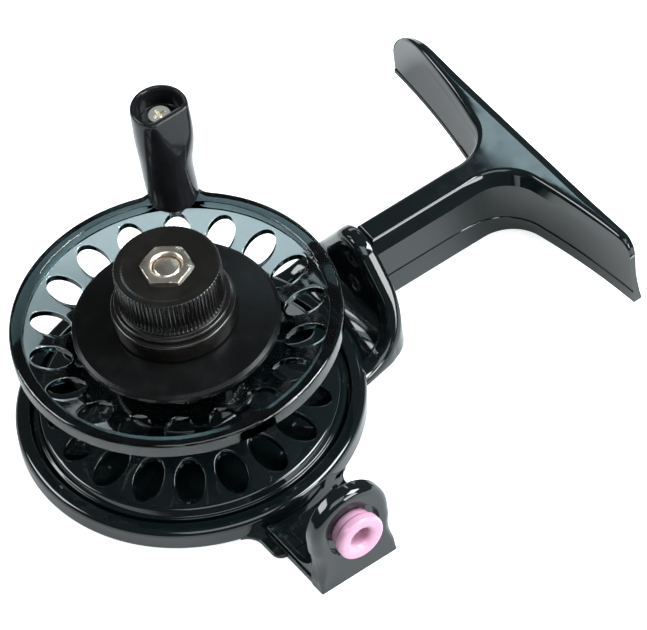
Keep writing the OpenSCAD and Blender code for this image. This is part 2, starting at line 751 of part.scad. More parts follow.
module crank_knob() {
    foot_r = knob_foot_d / 2;
    waist_r = knob_waist_d / 2;
    grip_r = knob_grip_d / 2;
    mouth_r = knob_mouth_d / 2;
    recess_r = mouth_r - knob_wall;
    color([0.03, 0.03, 0.03]) at_crank() difference() {
        translate([0, 0, knob_z]) rotate_extrude() polygon([[crank_hole_r, 0], [foot_r - rim_break, 0],
            [foot_r, rim_break], [waist_r, knob_h * waist_low], [waist_r, knob_h * waist_high],
            [(waist_r + grip_r) / 2, knob_h * (waist_high + grip_low) / 2],
            [grip_r, knob_h * grip_low], [grip_r, knob_h * grip_high],
            [mouth_r, knob_h - rim_break], [mouth_r - rim_break, knob_h], [crank_hole_r, knob_h]]);
        translate([0, -flat_off, knob_top]) rotate([-flat_tilt, 0, 0])
            translate([-knob_grip_d, -knob_grip_d, -knob_h / 2])
                cube([2 * knob_grip_d, knob_grip_d, knob_h]);
        translate([0, 0, recess_z]) linear_extrude(knob_recess + eps) difference() {
            circle(r = recess_r);
            translate([-recess_r, -knob_grip_d - flat_off + knob_wall]) square([2 * recess_r, knob_grip_d]);
        }
    }
}

module felt_washer() {
    color([0.30, 0.30, 0.28]) ring(felt_z, felt_t, land_d / 2 - run_gap, hub_r + run_gap);
}

module pressure_disc() {
    color([0.04, 0.04, 0.04]) rotate_extrude() polygon([
        [axle_hole_r, disc_z], [land_d / 2 + disc_lip, disc_z],
        [disc_r - 2 * disc_lip, disc_z - disc_lip + air], [disc_r - disc_lip, disc_z - disc_lip],
        [disc_r - rim_break, disc_z - disc_lip], [disc_r, disc_z - disc_lip + rim_break], [disc_r, disc_z],
        [disc_r - rim_break, disc_z + rim_break], [skirt_d / 2 + air, disc_top], [axle_hole_r, disc_top]]);
}

module drag_washer() {
    color([0.72, 0.72, 0.72]) ring(disc_top, washer_t, spring_d / 2, axle_hole_r);
}

module disc_springs() {
    r = spring_d / 2;
    i = axle_r + air;
    color([0.55, 0.56, 0.58]) translate([0, 0, spring_z]) rotate_extrude() {
        polygon([[r, 0], [r, spring_t], [i, spring_step], [i, spring_cone]]);
        polygon([[r, 2 * spring_step - spring_t], [r, 2 * spring_step], [i, spring_step + spring_t + fit],
            [i, spring_step + fit]]);
    }
}

module drag_knob() {
    skirt_r = skirt_d / 2;
    knurl_r = knurl_d / 2;
    ring_r1 = (skirt_r + knurl_r) / 2 + fit;
    groove = ring_h / 5;
    color([0.03, 0.03, 0.03]) difference() {
        union() {
            rotate_extrude() polygon([
                [0, drag_z], [skirt_r - rim_break, drag_z], [skirt_r, drag_z + rim_break],
                [skirt_r, skirt_top - rim_break], [skirt_r - rim_break, skirt_top], [knurl_r, skirt_top],
                [knurl_r, skirt_top + groove], [ring_r1 - groove, skirt_top + groove],
                [ring_r1, skirt_top + 2 * groove],
                [ring_r1, skirt_top + 3 * groove], [ring_r1 - groove, skirt_top + 4 * groove],
                [knurl_r - flute_r, skirt_top + 4 * groove], [knurl_r - flute_r, knurl_z + eps],
                [0, knurl_z + eps]]);
            translate([0, 0, knurl_z]) linear_extrude(knurl_h) difference() {
                circle(r = knurl_r);
                for (i = [0 : flute_n - 1]) rotate(i * 360 / flute_n) translate([knurl_r + flute_r / 4, 0])
                    circle(r = flute_r, $fn = 16);
            }
        }
        translate([0, 0, drag_z - eps]) cylinder(h = spring_top - drag_z + fit + eps, r = cavity_r);
        translate([0, 0, drag_z]) cylinder(h = drag_top, r = axle_hole_r);
        translate([0, 0, nut_z]) rotate(nut_turn) cylinder(h = knob_nut_h, r = hex_r + fit, $fn = 6);
        translate([0, 0, drag_top - dish])
            cylinder(h = dish + eps, r1 = dish_r - dish, r2 = dish_r + dish);
    }
}

module knob_nut() {
    color([0.76, 0.72, 0.66]) translate([0, 0, nut_z]) difference() {
        intersection() {
            rotate(nut_turn) cylinder(h = knob_nut_h, r = hex_r, $fn = 6);
            cylinder(h = knob_nut_h, r1 = hex_r + knob_nut_h, r2 = hex_af / 2 + eps);
        }
        translate([0, 0, -eps]) cylinder(h = knob_nut_h + 2 * eps, r = axle_hole_r);
        translate([0, 0, knob_nut_h - thread_break])
            cylinder(h = thread_break + eps, r1 = axle_hole_r, r2 = axle_hole_r + thread_break);
    }
}

body();
leg();
leg_screws();
guide_bracket();
guide_ring();
axle_bolt();
axle_washer();
axle_nut();
thrust_washer();
spool_rear();
spool_front();
spool_screws();
bush_rear();
bush_front();
crank_screw();
crank_knob();
felt_washer();
pressure_disc();
drag_washer();
disc_springs();
drag_knob();
knob_nut();
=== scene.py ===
import bpy
import bmesh
import numpy as np
from math import radians, sin, cos, tan, pi, atan2, sqrt, hypot
from mathutils import Matrix, Vector


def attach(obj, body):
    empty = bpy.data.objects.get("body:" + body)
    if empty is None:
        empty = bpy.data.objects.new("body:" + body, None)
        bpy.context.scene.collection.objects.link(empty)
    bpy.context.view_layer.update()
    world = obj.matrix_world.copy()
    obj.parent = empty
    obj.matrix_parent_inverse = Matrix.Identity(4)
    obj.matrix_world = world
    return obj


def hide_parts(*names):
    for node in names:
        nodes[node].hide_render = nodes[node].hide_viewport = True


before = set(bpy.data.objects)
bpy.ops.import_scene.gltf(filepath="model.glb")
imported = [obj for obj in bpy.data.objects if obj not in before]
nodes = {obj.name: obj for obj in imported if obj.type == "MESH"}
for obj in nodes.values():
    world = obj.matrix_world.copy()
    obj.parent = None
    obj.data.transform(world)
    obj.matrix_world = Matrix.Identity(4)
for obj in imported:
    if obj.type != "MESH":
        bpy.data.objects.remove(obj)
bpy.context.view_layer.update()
print("stage 1: frame loaded,", len(nodes), "nodes")

mm = 0.001

# camera, fitted to the photo
camValues = {
    "place": (-0.4360, -0.8541, 1.1209),
    "right": (0.8089, -0.5790, -0.1020),
    "up": (0.4947, 0.5767, 0.6501),
    "lens": 389.5,
    "sensor": 36,
    "clip": (0.05, 10),
}
camData = bpy.data.cameras.new("photoCam")
camData.sensor_width = camValues["sensor"]
camData.lens = camValues["lens"]
camData.clip_start, camData.clip_end = camValues["clip"]
cam = bpy.data.objects.new("photoCam", camData)
bpy.context.scene.collection.objects.link(cam)
right = Vector(camValues["right"]).normalized()
up = Vector(camValues["up"]).normalized()
turned = Matrix((right, up, right.cross(up))).transposed()
cam.matrix_world = Matrix.Translation(camValues["place"]) @ turned.to_4x4()
bpy.context.scene.camera = cam
bpy.context.scene.view_settings.view_transform = "Standard"
print("stage 2: camera")


# node helpers
def newMaterial(name):
    mat = bpy.data.materials.new(name)
    mat.use_nodes = True
    tree = mat.node_tree
    tree.nodes.clear()
    out = tree.nodes.new("ShaderNodeOutputMaterial")
    shader = tree.nodes.new("ShaderNodeBsdfPrincipled")
    tree.links.new(shader.outputs[0], out.inputs["Surface"])
    return mat, tree, shader


def noiseOf(tree, scale, detail):
    place = tree.nodes.new("ShaderNodeTexCoord")
    noise = tree.nodes.new("ShaderNodeTexNoise")
    noise.inputs["Scale"].default_value = scale
    noise.inputs["Detail"].default_value = detail
    tree.links.new(place.outputs["Object"], noise.inputs["Vector"])
    return noise.outputs["Fac"]


def rangeOf(tree, source, low, high, fromLow=0.3, fromHigh=0.7):
    remap = tree.nodes.new("ShaderNodeMapRange")
    remap.inputs["From Min"].default_value = fromLow
    remap.inputs["From Max"].default_value = fromHigh
    remap.inputs["To Min"].default_value = low
    remap.inputs["To Max"].default_value = high
    tree.links.new(source, remap.inputs["Value"])
    return remap.outputs["Result"]


def bumpOf(tree, source, strength, depth):
    bump = tree.nodes.new("ShaderNodeBump")
    bump.inputs["Strength"].default_value = strength
    bump.inputs["Distance"].default_value = depth
    tree.links.new(source, bump.inputs["Height"])
    return bump.outputs["Normal"]


def productOf(tree, a, b):
    node = tree.nodes.new("ShaderNodeMath")
    node.operation = "MULTIPLY"
    tree.links.new(a, node.inputs[0])
    tree.links.new(b, node.inputs[1])
    return node.outputs[0]


# smoke plastic: haze and flow are noise scale and detail, flowBump is strength and depth
smokeValues = {
    "solid": (0.0026, 0.0046, 0.0050, 1),
    "clear": (0.93, 0.96, 0.97, 1),
    "tint": (0.37, 0.455, 0.47, 1),
    "web": 1150,
    "ior": 1.49,
    "rough": (0.03, 0.09),
    "haze": (260, 4),
    "flow": (110, 2),
    "flowBump": (0.03, 0.0004),
}


# clear with a density, for a thin web; opaque without one, for a thick moulding
def smokePlastic(name, density=0):
    mat, tree, shader = newMaterial(name)
    shader.inputs["Base Color"].default_value = smokeValues["clear" if density else "solid"]
    shader.inputs["Transmission Weight"].default_value = 1 if density else 0
    shader.inputs["IOR"].default_value = smokeValues["ior"]
    haze = noiseOf(tree, *smokeValues["haze"])
    tree.links.new(rangeOf(tree, haze, *smokeValues["rough"]), shader.inputs["Roughness"])
    flow = noiseOf(tree, *smokeValues["flow"])
    tree.links.new(bumpOf(tree, flow, *smokeValues["flowBump"]), shader.inputs["Normal"])
    if density:
        volume = tree.nodes.new("ShaderNodeVolumeAbsorption")
        volume.inputs["Color"].default_value = smokeValues["tint"]
        volume.inputs["Density"].default_value = density
        tree.links.new(volume.outputs[0], tree.nodes["Material Output"].inputs["Volume"])
    return mat


# leg: a bump adds to the lean of the stem's sides near the top; heights and lengths are in metres
flankValues = {
    "tilt": radians(24),
    "heights": (0.0174, 0.0222),
    "stemEnd": (0.0815, 0.0875),
    "sideUp": (0.3, 0.7),
}


def smokeFlank(name):
    start, end = flankValues["heights"]
    mat = smokePlastic(name)
    tree = mat.node_tree
    place = tree.nodes.new("ShaderNodeTexCoord")
    spot = tree.nodes.new("ShaderNodeSeparateXYZ")
    facing = tree.nodes.new("ShaderNodeSeparateXYZ")
    tree.links.new(place.outputs["Object"], spot.inputs[0])
    tree.links.new(place.outputs["Normal"], facing.inputs[0])
    drop = -tan(flankValues["tilt"]) * (end - start)
    lean = rangeOf(tree, spot.outputs["Z"], 0, drop, start, end)
    stem = rangeOf(tree, spot.outputs["X"], 1, 0, *flankValues["stemEnd"])
    side = rangeOf(tree, facing.outputs["Z"], 1, 0, *flankValues["sideUp"])
    shape = bumpOf(tree, lean, 1, 1)
    tree.links.new(productOf(tree, stem, side), shape.node.inputs["Strength"])
    tree.links.new(shape, tree.nodes["Bump"].inputs["Normal"])
    return mat


# other finishes: two colours mixed by a wear noise, and a fine grain
finishValues = {
    "blackGloss": {"color": (0.006, 0.006, 0.007), "worn": (0.009, 0.009, 0.010),
                   "rough": (0.10, 0.20), "spec": 0.25},
    "discBlack": {"color": (0.003, 0.003, 0.003), "worn": (0.005, 0.005, 0.005),
                  "rough": (0.20, 0.30), "spec": 0.12, "bump": 0.08},
    "knobBlack": {"color": (0.005, 0.0045, 0.004), "worn": (0.008, 0.007, 0.006),
                  "rough": (0.12, 0.20), "spec": 0.45},
    "zincSteel": {"color": (0.64, 0.56, 0.47), "worn": (0.44, 0.38, 0.31),
                  "rough": (0.22, 0.38), "metal": 1, "bump": 0.15},
    "nickel": {"color": (0.86, 0.81, 0.73), "worn": (0.62, 0.58, 0.52), "rough": (0.34, 0.46), "metal": 1},
    "blackSteel": {"color": (0.02, 0.02, 0.02), "worn": (0.03, 0.03, 0.03),
                   "rough": (0.3, 0.45), "metal": 0.6},
    "springSteel": {"color": (0.35, 0.36, 0.38), "worn": (0.25, 0.26, 0.3), "rough": (0.25, 0.4), "metal": 1},
    "bronze": {"color": (0.55, 0.36, 0.14), "worn": (0.4, 0.25, 0.1), "rough": (0.3, 0.45), "metal": 1},
    "nylon": {"color": (0.72, 0.70, 0.62), "worn": (0.6, 0.58, 0.5), "rough": (0.4, 0.55)},
    "felt": {"color": (0.05, 0.05, 0.048), "worn": (0.08, 0.08, 0.075),
             "rough": (0.85, 0.95), "grain": 4000, "bump": 0.6},
    "pinkCeramic": {"color": (0.48, 0.25, 0.355), "worn": (0.44, 0.22, 0.32), "rough": (0.16, 0.26)},
}
wearValues = {
    "coarser": 6, "wearDetail": 5, "grainDetail": 3, "depth": 0.0002,
    "wornFrom": 0.45, "wornTo": 0.75,
}


def solidMaterial(name, color, worn, rough, metal=0.0, spec=0.5, grain=1200, bump=0.05):
    mat, tree, shader = newMaterial(name)
    shader.inputs["Base Color"].default_value = (*color, 1)
    shader.inputs["Metallic"].default_value = metal
    shader.inputs["Specular IOR Level"].default_value = spec
    wear = noiseOf(tree, grain / wearValues["coarser"], wearValues["wearDetail"])
    tree.links.new(rangeOf(tree, wear, *rough), shader.inputs["Roughness"])
    fine = noiseOf(tree, grain, wearValues["grainDetail"])
    tree.links.new(bumpOf(tree, fine, bump, wearValues["depth"]), shader.inputs["Normal"])
    mix = tree.nodes.new("ShaderNodeMix")
    mix.data_type = "RGBA"
    mix.inputs["A"].default_value = (*color, 1)
    mix.inputs["B"].default_value = (*worn, 1)
    share = rangeOf(tree, wear, 0, 1, wearValues["wornFrom"], wearValues["wornTo"])
    tree.links.new(share, mix.inputs["Factor"])
    tree.links.new(mix.outputs["Result"], shader.inputs["Base Color"])
    return mat


smokeWeb = smokePlastic("smokeWeb", smokeValues["web"])
smokeSolid = smokePlastic("smokeSolid")
smokeLeg = smokeFlank("smokeLeg")
finishes = {name: solidMaterial(name, **values) for name, values in finishValues.items()}

# pieces that keep the CAD shape
plainPieces = {
    "leg_screws": "blackSteel", "axle_washer": "zincSteel", "axle_nut": "zincSteel", "thrust_washer": "nylon",
    "spool_screws": "zincSteel", "bush_rear": "bronze", "bush_front": "bronze", "crank_screw": "nickel",
    "felt_washer": "felt", "drag_washer": "zincSteel", "disc_springs": "springSteel",
}
for name, finish in plainPieces.items():
    mesh = nodes[name].data
    mesh.materials.clear()
    mesh.materials.append(finishes[finish])
print("stage 3: materials")


# mesh helpers, all in millimetres
def loft(loops, wrap=False, caps=()):
    count = len(loops[0])
    rows = len(loops)
    faces = []
    for i in range(rows if wrap else rows - 1):
        a = i * count
        b = (i + 1) % rows * count
        for j in range(count):
            k = (j + 1) % count
            faces.append((a + j, a + k, b + k, b + j))
    for row in caps:
        start = row % rows * count
        faces.append(tuple(range(start, start + count)))
    return [p for loop in loops for p in loop], faces


# points are across, up and corner radius; a corner takes at most cornerShare of each side
cornerShare = 0.49


def roundPath(points, steps=4, closed=False):
    count = len(points)
    path = []
    for i, (x, y, radius) in enumerate(points):
        if radius <= 0 or (not closed and i in (0, count - 1)):
            path.append((x, y))
            continue
        here = Vector((x, y))
        va = Vector(points[i - 1][:2]) - here
        vb = Vector(points[(i + 1) % count][:2]) - here
        half = va.angle(vb) / 2
        cut = min(radius / tan(half), va.length * cornerShare, vb.length * cornerShare)
        va.normalize()
        vb.normalize()
        bow = cut * tan(half)
        mid = here + (va + vb).normalized() * (bow / sin(half))
        first = atan2(*(here + va * cut - mid).yx)
        last = atan2(*(here + vb * cut - mid).yx)
        turn = (last - first + pi) % (2 * pi) - pi
        arc = [first + turn * k / steps for k in range(steps + 1)]
        path += [(mid.x + bow * cos(t), mid.y + bow * sin(t)) for t in arc]
    return path


def turnsOf(count, start=0.0):
    return [start + 2 * pi * j / count for j in range(count)]


def circleAt(radius, z, turns, middle=(0, 0)):
    return [(middle[0] + radius * cos(t), middle[1] + radius * sin(t), z) for t in turns]


def hexReach(turn, flat, spin=0.0):
    return flat / cos(((turn - spin) % (pi / 3)) - pi / 6)


def hexAt(flat, z, turns, spin=0.0):
    return [(hexReach(t, flat, spin) * cos(t), hexReach(t, flat, spin) * sin(t), z) for t in turns]


def lathe(profile, columns, start=0.0, middle=(0, 0), radiusOf=None, closed=False, place=None):
    loops = []
    for r, z in profile:
        loop = []
        for a in turnsOf(columns, start):
            ra = radiusOf(r, z, a) if radiusOf else r
            loop.append((middle[0] + ra * cos(a), middle[1] + ra * sin(a), z))
        loops.append([place(*p) for p in loop] if place else loop)
    return loft(loops, wrap=closed)


def sleeve(inner, outer, low, high, columns, middle):
    profile = [(inner, low), (outer, low), (outer, high), (inner, high)]
    return lathe(profile, columns, 0, middle, closed=True)


def spun(turn):
    cs = cos(turn)
    sn = sin(turn)
    return lambda u, v, h: (u * cs - v * sn, u * sn + v * cs, h)


def asDrawn(u, v, h):
    return u, v, h


def rectangle(x0, x1, y0, y1):
    return [(x0, y0), (x1, y0), (x1, y1), (x0, y1)]


def softMin(a, b, blend):
    gap = max(0, blend - abs(a - b))
    return min(a, b) - gap * gap / (4 * blend)


def normalsOf(outline):
    count = len(outline)
    result = []
    for i in range(count):
        here = Vector(outline[i])
        ta = (here - Vector(outline[i - 1])).normalized()
        tb = (Vector(outline[(i + 1) % count]) - here).normalized()
        side = (ta + tb).normalized()
        grow = 1 / max(0.5, ta.dot(side))    # at most twice as far at a sharp corner
        result.append((side.y * grow, -side.x * grow))
    return result


def inset(outline, normals, depth):
    return [(p[0] - n[0] * depth, p[1] - n[1] * depth) for p, n in zip(outline, normals)]


# flat piece with rounded edges
def slab(outline, low, high, rLow, rHigh, place, steps=4):
    area = sum(a[0] * b[1] - b[0] * a[1] for a, b in zip(outline, outline[1:] + outline[:1]))
    if area < 0:
        outline = outline[::-1]
    normals = normalsOf(outline)
    arc = [pi / 2 * k / steps for k in range(steps + 1)]
    loops = []
    for a in reversed(arc):
        rim = inset(outline, normals, rLow * (1 - cos(a)))
        loops.append([place(u, v, low + rLow * (1 - sin(a))) for u, v in rim])
    for a in arc:
        rim = inset(outline, normals, rHigh * (1 - cos(a)))
        loops.append([place(u, v, high - rHigh * (1 - sin(a))) for u, v in rim])
    return loft(loops, caps=(0, -1))


# mesh of the surface where a field is zero: cells that it crosses, moved onto it
fieldValues = {"rounds": 12, "evenAt": (3, 6), "keep": 0.4, "step": 0.01, "leastSlope": 0.3}


def fieldMesh(field, low, high, cell):
    axes = [np.arange(a, b + cell, cell) for a, b in zip(low, high)]
    inside = field(*np.meshgrid(*axes, indexing="ij")) < 0
    full = np.zeros([len(a) - 1 for a in axes], int)
    for i, j, k in np.ndindex(2, 2, 2):
        full += inside[i:full.shape[0] + i, j:full.shape[1] + j, k:full.shape[2] + k]
    mixed = (full > 0) & (full < 8)
    number = np.full(full.shape, -1)
    number[mixed] = np.arange(mixed.sum())
    points = np.array(low) + (np.argwhere(mixed) + 0.5) * cell
    faces = []
    for axis in range(3):
        solid = np.moveaxis(inside, axis, 0)
        ids = np.moveaxis(number, axis, 0)
        i, j, k = np.nonzero(solid[1:, 1:-1, 1:-1] != solid[:-1, 1:-1, 1:-1])
        corners = [ids[i, j, k], ids[i, j + 1, k], ids[i, j + 1, k + 1], ids[i, j, k + 1]]
        faces.append(np.stack(corners, 1))
    faces = np.concatenate(faces)
    keep = fieldValues["keep"]
    step = fieldValues["step"]
    for turn in range(fieldValues["rounds"]):
        if turn in fieldValues["evenAt"]:    # even out the spacing
            total = np.zeros_like(points)
            hits = np.zeros(len(points))
            for a in range(4):
                np.add.at(total, faces[:, a], points[faces[:, a - 1]])
                np.add.at(hits, faces[:, a], 1)
            points = keep * points + (1 - keep) * total / hits[:, None]
        rises = [field(*(points + d).T) - field(*(points - d).T) for d in np.eye(3) * step]
        slope = np.stack(rises, 1) / (2 * step)
        steep = np.maximum((slope ** 2).sum(1), fieldValues["leastSlope"])
        points = points - slope * (field(*points.T) / steep)[:, None]
    return [tuple(q) for q in points.tolist()], [tuple(q) for q in faces.tolist()]


# one visible piece from its parts: points closer than weldGap are joined, edges over sharp degrees stay hard
weldGap = 0.002 * mm


def piece(name, parts, body, mat, replaced, sharp=40):
    verts = []
    faces = []
    for partVerts, partFaces in parts:
        base = len(verts)
        verts += [(x * mm, y * mm, z * mm) for x, y, z in partVerts]
        faces += [tuple(i + base for i in face) for face in partFaces]
    mesh = bpy.data.meshes.new(name)
    mesh.from_pydata(verts, [], faces)
    bm = bmesh.new()
    bm.from_mesh(mesh)
    bmesh.ops.remove_doubles(bm, verts=bm.verts, dist=weldGap)
    bmesh.ops.recalc_face_normals(bm, faces=bm.faces)
    if bm.calc_volume(signed=True) < 0:
        bmesh.ops.reverse_faces(bm, faces=bm.faces)
    bm.to_mesh(mesh)
    bm.free()
    mesh.shade_smooth()
    mesh.set_sharp_from_angle(angle=radians(sharp))
    mesh.materials.append(mat)
    obj = bpy.data.objects.new(name, mesh)
    bpy.context.scene.collection.objects.link(obj)
    even = obj.modifiers.new("evenNormals", "WEIGHTED_NORMAL")
    even.keep_sharp = True
    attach(obj, body)
    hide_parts(*replaced)
    return obj


# sizes that several pieces share
crankTurn = radians(55.9)    # where the crank ear stands
nutTurn = radians(20.5)      # how the drag knob's nut is turned
axleHole = 3.04
guideX = 1.9                 # the line guide stands this far from the spool axis

# ring of sectors, each with an oval hole that has rounded edges
webValues = {"holes": 18, "arcSteps": 16, "sideSteps": 12, "edgeSteps": 4, "shares": (0, 0.4, 0.75, 1)}
columns = webValues["holes"] * webValues["arcSteps"]
firstTurn = crankTurn - pi / webValues["holes"]


def holedWeb(flange, topOf, lowOf):
    middle = flange["holeAt"]
    long = flange["holeLong"]
    wide = flange["holeWide"]
    edge = flange["holeEdge"]
    rIn = flange["webIn"]
    rOut = flange["webOut"]
    half = pi / webValues["holes"]
    arcs = [k / webValues["arcSteps"] for k in range(webValues["arcSteps"])]
    sides = [k / webValues["sideSteps"] for k in range(webValues["sideSteps"])]
    rim = [(rOut, -half + 2 * half * s) for s in arcs]
    rim += [(rOut + (rIn - rOut) * s, half) for s in sides]
    rim += [(rIn, half - 2 * half * s) for s in arcs]
    rim += [(rIn + (rOut - rIn) * s, -half) for s in sides]
    rim = [(r * cos(t), r * sin(t)) for r, t in rim]
    turns = [atan2(v / wide, (u - middle) / long) for u, v in rim]

    def ringAt(share, grow):
        ring = []
        for (u, v), t in zip(rim, turns):
            holeU = middle + (long + grow) * cos(t)
            holeV = (wide + grow) * sin(t)
            ring.append((u + (holeU - u) * share, v + (holeV - v) * share))
        return ring

    rows = [(ringAt(share, edge), 0) for share in webValues["shares"]]
    for k in range(1, webValues["edgeSteps"] + 1):
        turn = pi / 2 * k / webValues["edgeSteps"]
        rows.append((ringAt(1, edge * (1 - sin(turn))), edge * (1 - cos(turn))))
    parts = []
    for i in range(webValues["holes"]):
        place = spun(crankTurn + 2 * pi * i / webValues["holes"])
        top = [[place(u, v, topOf(hypot(u, v)) - drop) for u, v in row] for row, drop in rows]
        low = [[place(u, v, lowOf(hypot(u, v)) + drop) for u, v in row] for row, drop in rows]
        parts.append(loft(top + low[::-1]))
    return parts


# front flange with the raised rim, the hub and the crank ear
frontValues = {
    "holeAt": 27.05, "holeLong": 4.4, "holeWide": 3.05, "holeEdge": 0.22,
    "webIn": 19, "webOut": 31.95, "web": 1.7, "cone": 0.3, "coneEnd": 34.6,
    "rimR": 35, "rimIn": 32.1, "rimLow": 27.5, "rimTop": 31.0,
    "hubR": 18, "hubTop": 29.2, "bore": 4.5, "neckR": 8, "neckLow": 13.5,
    "wellR": 13, "wellTop": 27.0, "arborR": 15, "seam": 21.62,
    "earAt": 33.9, "earR": 5.5, "earFillet": 4, "earFrom": 32.7, "earOver": 1.5,
    "eyeIn": 1.6, "eyeR": 2.2, "eyeLow": 26.9, "eyeTop": 28.2, "eyeColumns": 32,
    "posts": 3, "postAt": 10.8, "postIn": 1.25, "postR": 2.1, "postLow": 11.6, "postTop": 27.2,
    "postColumns": 24,
}


def frontLow(r):
    return frontValues["rimLow"] - frontValues["cone"] * (frontValues["coneEnd"] - r)


def frontTop(r):
    return frontLow(r) + frontValues["web"]


# the rim's outline with the ear and its two fillets
def earReach(turn):
    earAt = frontValues["earAt"]
    earR = frontValues["earR"]
    fillet = frontValues["earFillet"]
    t = abs((turn - crankTurn + pi) % (2 * pi) - pi)
    far = frontValues["rimR"] + fillet
    near = earR + fillet
    u = (far * far - near * near + earAt ** 2) / (2 * earAt)
    filletEnd = atan2(sqrt(far * far - u * u), u)
    px = earAt + (u - earAt) * earR / near
    py = far * sin(filletEnd) * earR / near
    if t < atan2(py, px):
        return earAt * cos(t) + sqrt(max(0, earR ** 2 - (earAt * sin(t)) ** 2))
    if t < filletEnd:
        back = filletEnd - t
        return far * cos(back) - sqrt(max(0, fillet ** 2 - (far * sin(back)) ** 2))
    return frontValues["rimR"]


def earRadius(r, z, turn):
    share = min(1, max(0, (r - frontValues["earFrom"]) / frontValues["earOver"]))
    return r + (earReach(turn) - frontValues["rimR"]) * share


front = frontValues
rim = roundPath([
    (front["webOut"], frontTop(front["webOut"]), 0),
    (front["rimIn"], frontTop(front["rimIn"]), 0.3),
    (front["rimIn"], front["rimTop"], 0.4),
    (front["rimR"], front["rimTop"], 0.7),
    (front["rimR"], front["rimLow"], 0.5),
    (front["webOut"], frontLow(front["webOut"]), 0),
], 5)
hub = roundPath([
    (front["webIn"], frontTop(front["webIn"]), 0),
    (front["hubR"], frontTop(front["hubR"]), 0.5),
    (front["hubR"], front["hubTop"], 0.4),
    (front["bore"], front["hubTop"], 0),
    (front["bore"], front["neckLow"], 0),
    (front["neckR"], front["neckLow"], 0.3),
    (front["neckR"], front["wellTop"], 0.3),
    (front["wellR"], front["wellTop"], 0.4),
    (front["wellR"], front["seam"], 0),
    (front["arborR"], front["seam"], 0),
    (front["webIn"], frontLow(front["webIn"]), 0),
])
crankPlace = (front["earAt"] * cos(crankTurn), front["earAt"] * sin(crankTurn))
parts = holedWeb(front, frontTop, frontLow)
parts.append(lathe(rim, columns, firstTurn, radiusOf=earRadius))
parts.append(lathe(hub, columns, firstTurn))
parts.append(sleeve(front["eyeIn"], front["eyeR"], front["eyeLow"], front["eyeTop"],
                    front["eyeColumns"], crankPlace))
for turn in turnsOf(front["posts"]):
    middle = (front["postAt"] * cos(turn), front["postAt"] * sin(turn))
    parts.append(sleeve(front["postIn"], front["postR"], front["postLow"], front["postTop"],
                        front["postColumns"], middle))
piece("spoolFrontShell", parts, "spool", smokeWeb, ("spool_front",))

# rear flange and arbor
rearValues = {
    "holeAt": 25.5, "holeLong": 4.75, "holeWide": 3.05, "holeEdge": 0.4,
    "webIn": 16.5, "webOut": 30.9, "web": 1.7, "cone": 0.3, "coneEnd": 32.6, "coneTop": 6.0,
    "shoulder": 31.7, "stepR": 32.35, "stepTop": 4.9, "rimR": 33, "rimIn": 31.1, "rimTop": 4.7, "rimLow": 3.2,
    "arborR": 15, "arborIn": 13, "arborTop": 21.6, "bore": 8.4, "floorTop": 11.6, "floorLow": 9.6,
}


def rearTop(r):
    return rearValues["coneTop"] + rearValues["cone"] * (rearValues["coneEnd"] - r)


def rearLow(r):
    return rearTop(r) - rearValues["web"]


rear = rearValues
rim = roundPath([
    (rear["webOut"], rearTop(rear["webOut"]), 0),
    (rear["shoulder"], rearTop(rear["shoulder"]), 0.8),
    (rear["stepR"], rear["stepTop"], 0.4),
    (rear["rimR"], rear["rimTop"], 0.25),
    (rear["rimR"], rear["rimLow"], 0.4),
    (rear["rimIn"], rear["rimLow"], 0.3),
    (rear["rimIn"], rearLow(rear["rimIn"]), 0.2),
    (rear["webOut"], rearLow(rear["webOut"]), 0),
], 5)
arbor = roundPath([
    (rear["webIn"], rearTop(rear["webIn"]), 0),
    (rear["arborR"], rearTop(rear["arborR"]), 0.6),
    (rear["arborR"], rear["arborTop"], 0),
    (rear["arborIn"], rear["arborTop"], 0),
    (rear["arborIn"], rear["floorTop"], 0.3),
    (rear["bore"], rear["floorTop"], 0.2),
    (rear["bore"], rear["floorLow"], 0.2),
    (rear["arborR"], rearLow(rear["arborR"]), 0),
    (rear["webIn"], rearLow(rear["webIn"]), 0),
])
parts = holedWeb(rear, rearTop, rearLow)
parts.append(lathe(rim, columns, firstTurn))
parts.append(lathe(arbor, columns, firstTurn))
piece("spoolRearShell", parts, "spool", smokeSolid, ("spool_rear",))
print("stage 4: spool")

# body cup with a boss for the axle, a hex pocket in the back and ribs on the floor
bodyValues = {
    "cupR": 37.2, "cupIn": 33.9, "height": 5.0, "floor": 2.4, "bossR": 8.2, "bossTop": 7.0,
    "backIn": 12, "pocket": 4.1, "hexFlat": 5.03,
    "ribs": 6, "ribFrom": 7, "ribTo": 33.5, "ribHalf": 0.9, "ribLow": 1.5, "ribTop": 2.8,
    "ribEdges": (0.05, 0.2),
}
cup = roundPath([
    (bodyValues["backIn"], 0, 0),
    (bodyValues["cupR"], 0, 0.9),
    (bodyValues["cupR"], bodyValues["height"], 1.3),
    (bodyValues["cupIn"], bodyValues["height"], 0.5),
    (bodyValues["cupIn"], bodyValues["floor"], 0.5),
    (bodyValues["bossR"], bodyValues["floor"], 0.5),
    (bodyValues["bossR"], bodyValues["bossTop"], 0.4),
    (axleHole, bodyValues["bossTop"], 0),
], 5)
parts = [lathe(cup + [(axleHole, bodyValues["pocket"])], columns)]
turns = turnsOf(columns)
parts.append(loft([
    circleAt(axleHole, bodyValues["pocket"], turns),
    hexAt(bodyValues["hexFlat"], bodyValues["pocket"], turns),
    hexAt(bodyValues["hexFlat"], 0, turns),
    circleAt(bodyValues["backIn"], 0, turns),
]))
rib = rectangle(bodyValues["ribFrom"], bodyValues["ribTo"], -bodyValues["ribHalf"], bodyValues["ribHalf"])
for turn in turnsOf(bodyValues["ribs"], pi / bodyValues["ribs"]):
    parts.append(slab(rib, bodyValues["ribLow"], bodyValues["ribTop"], *bodyValues["ribEdges"], spun(turn)))

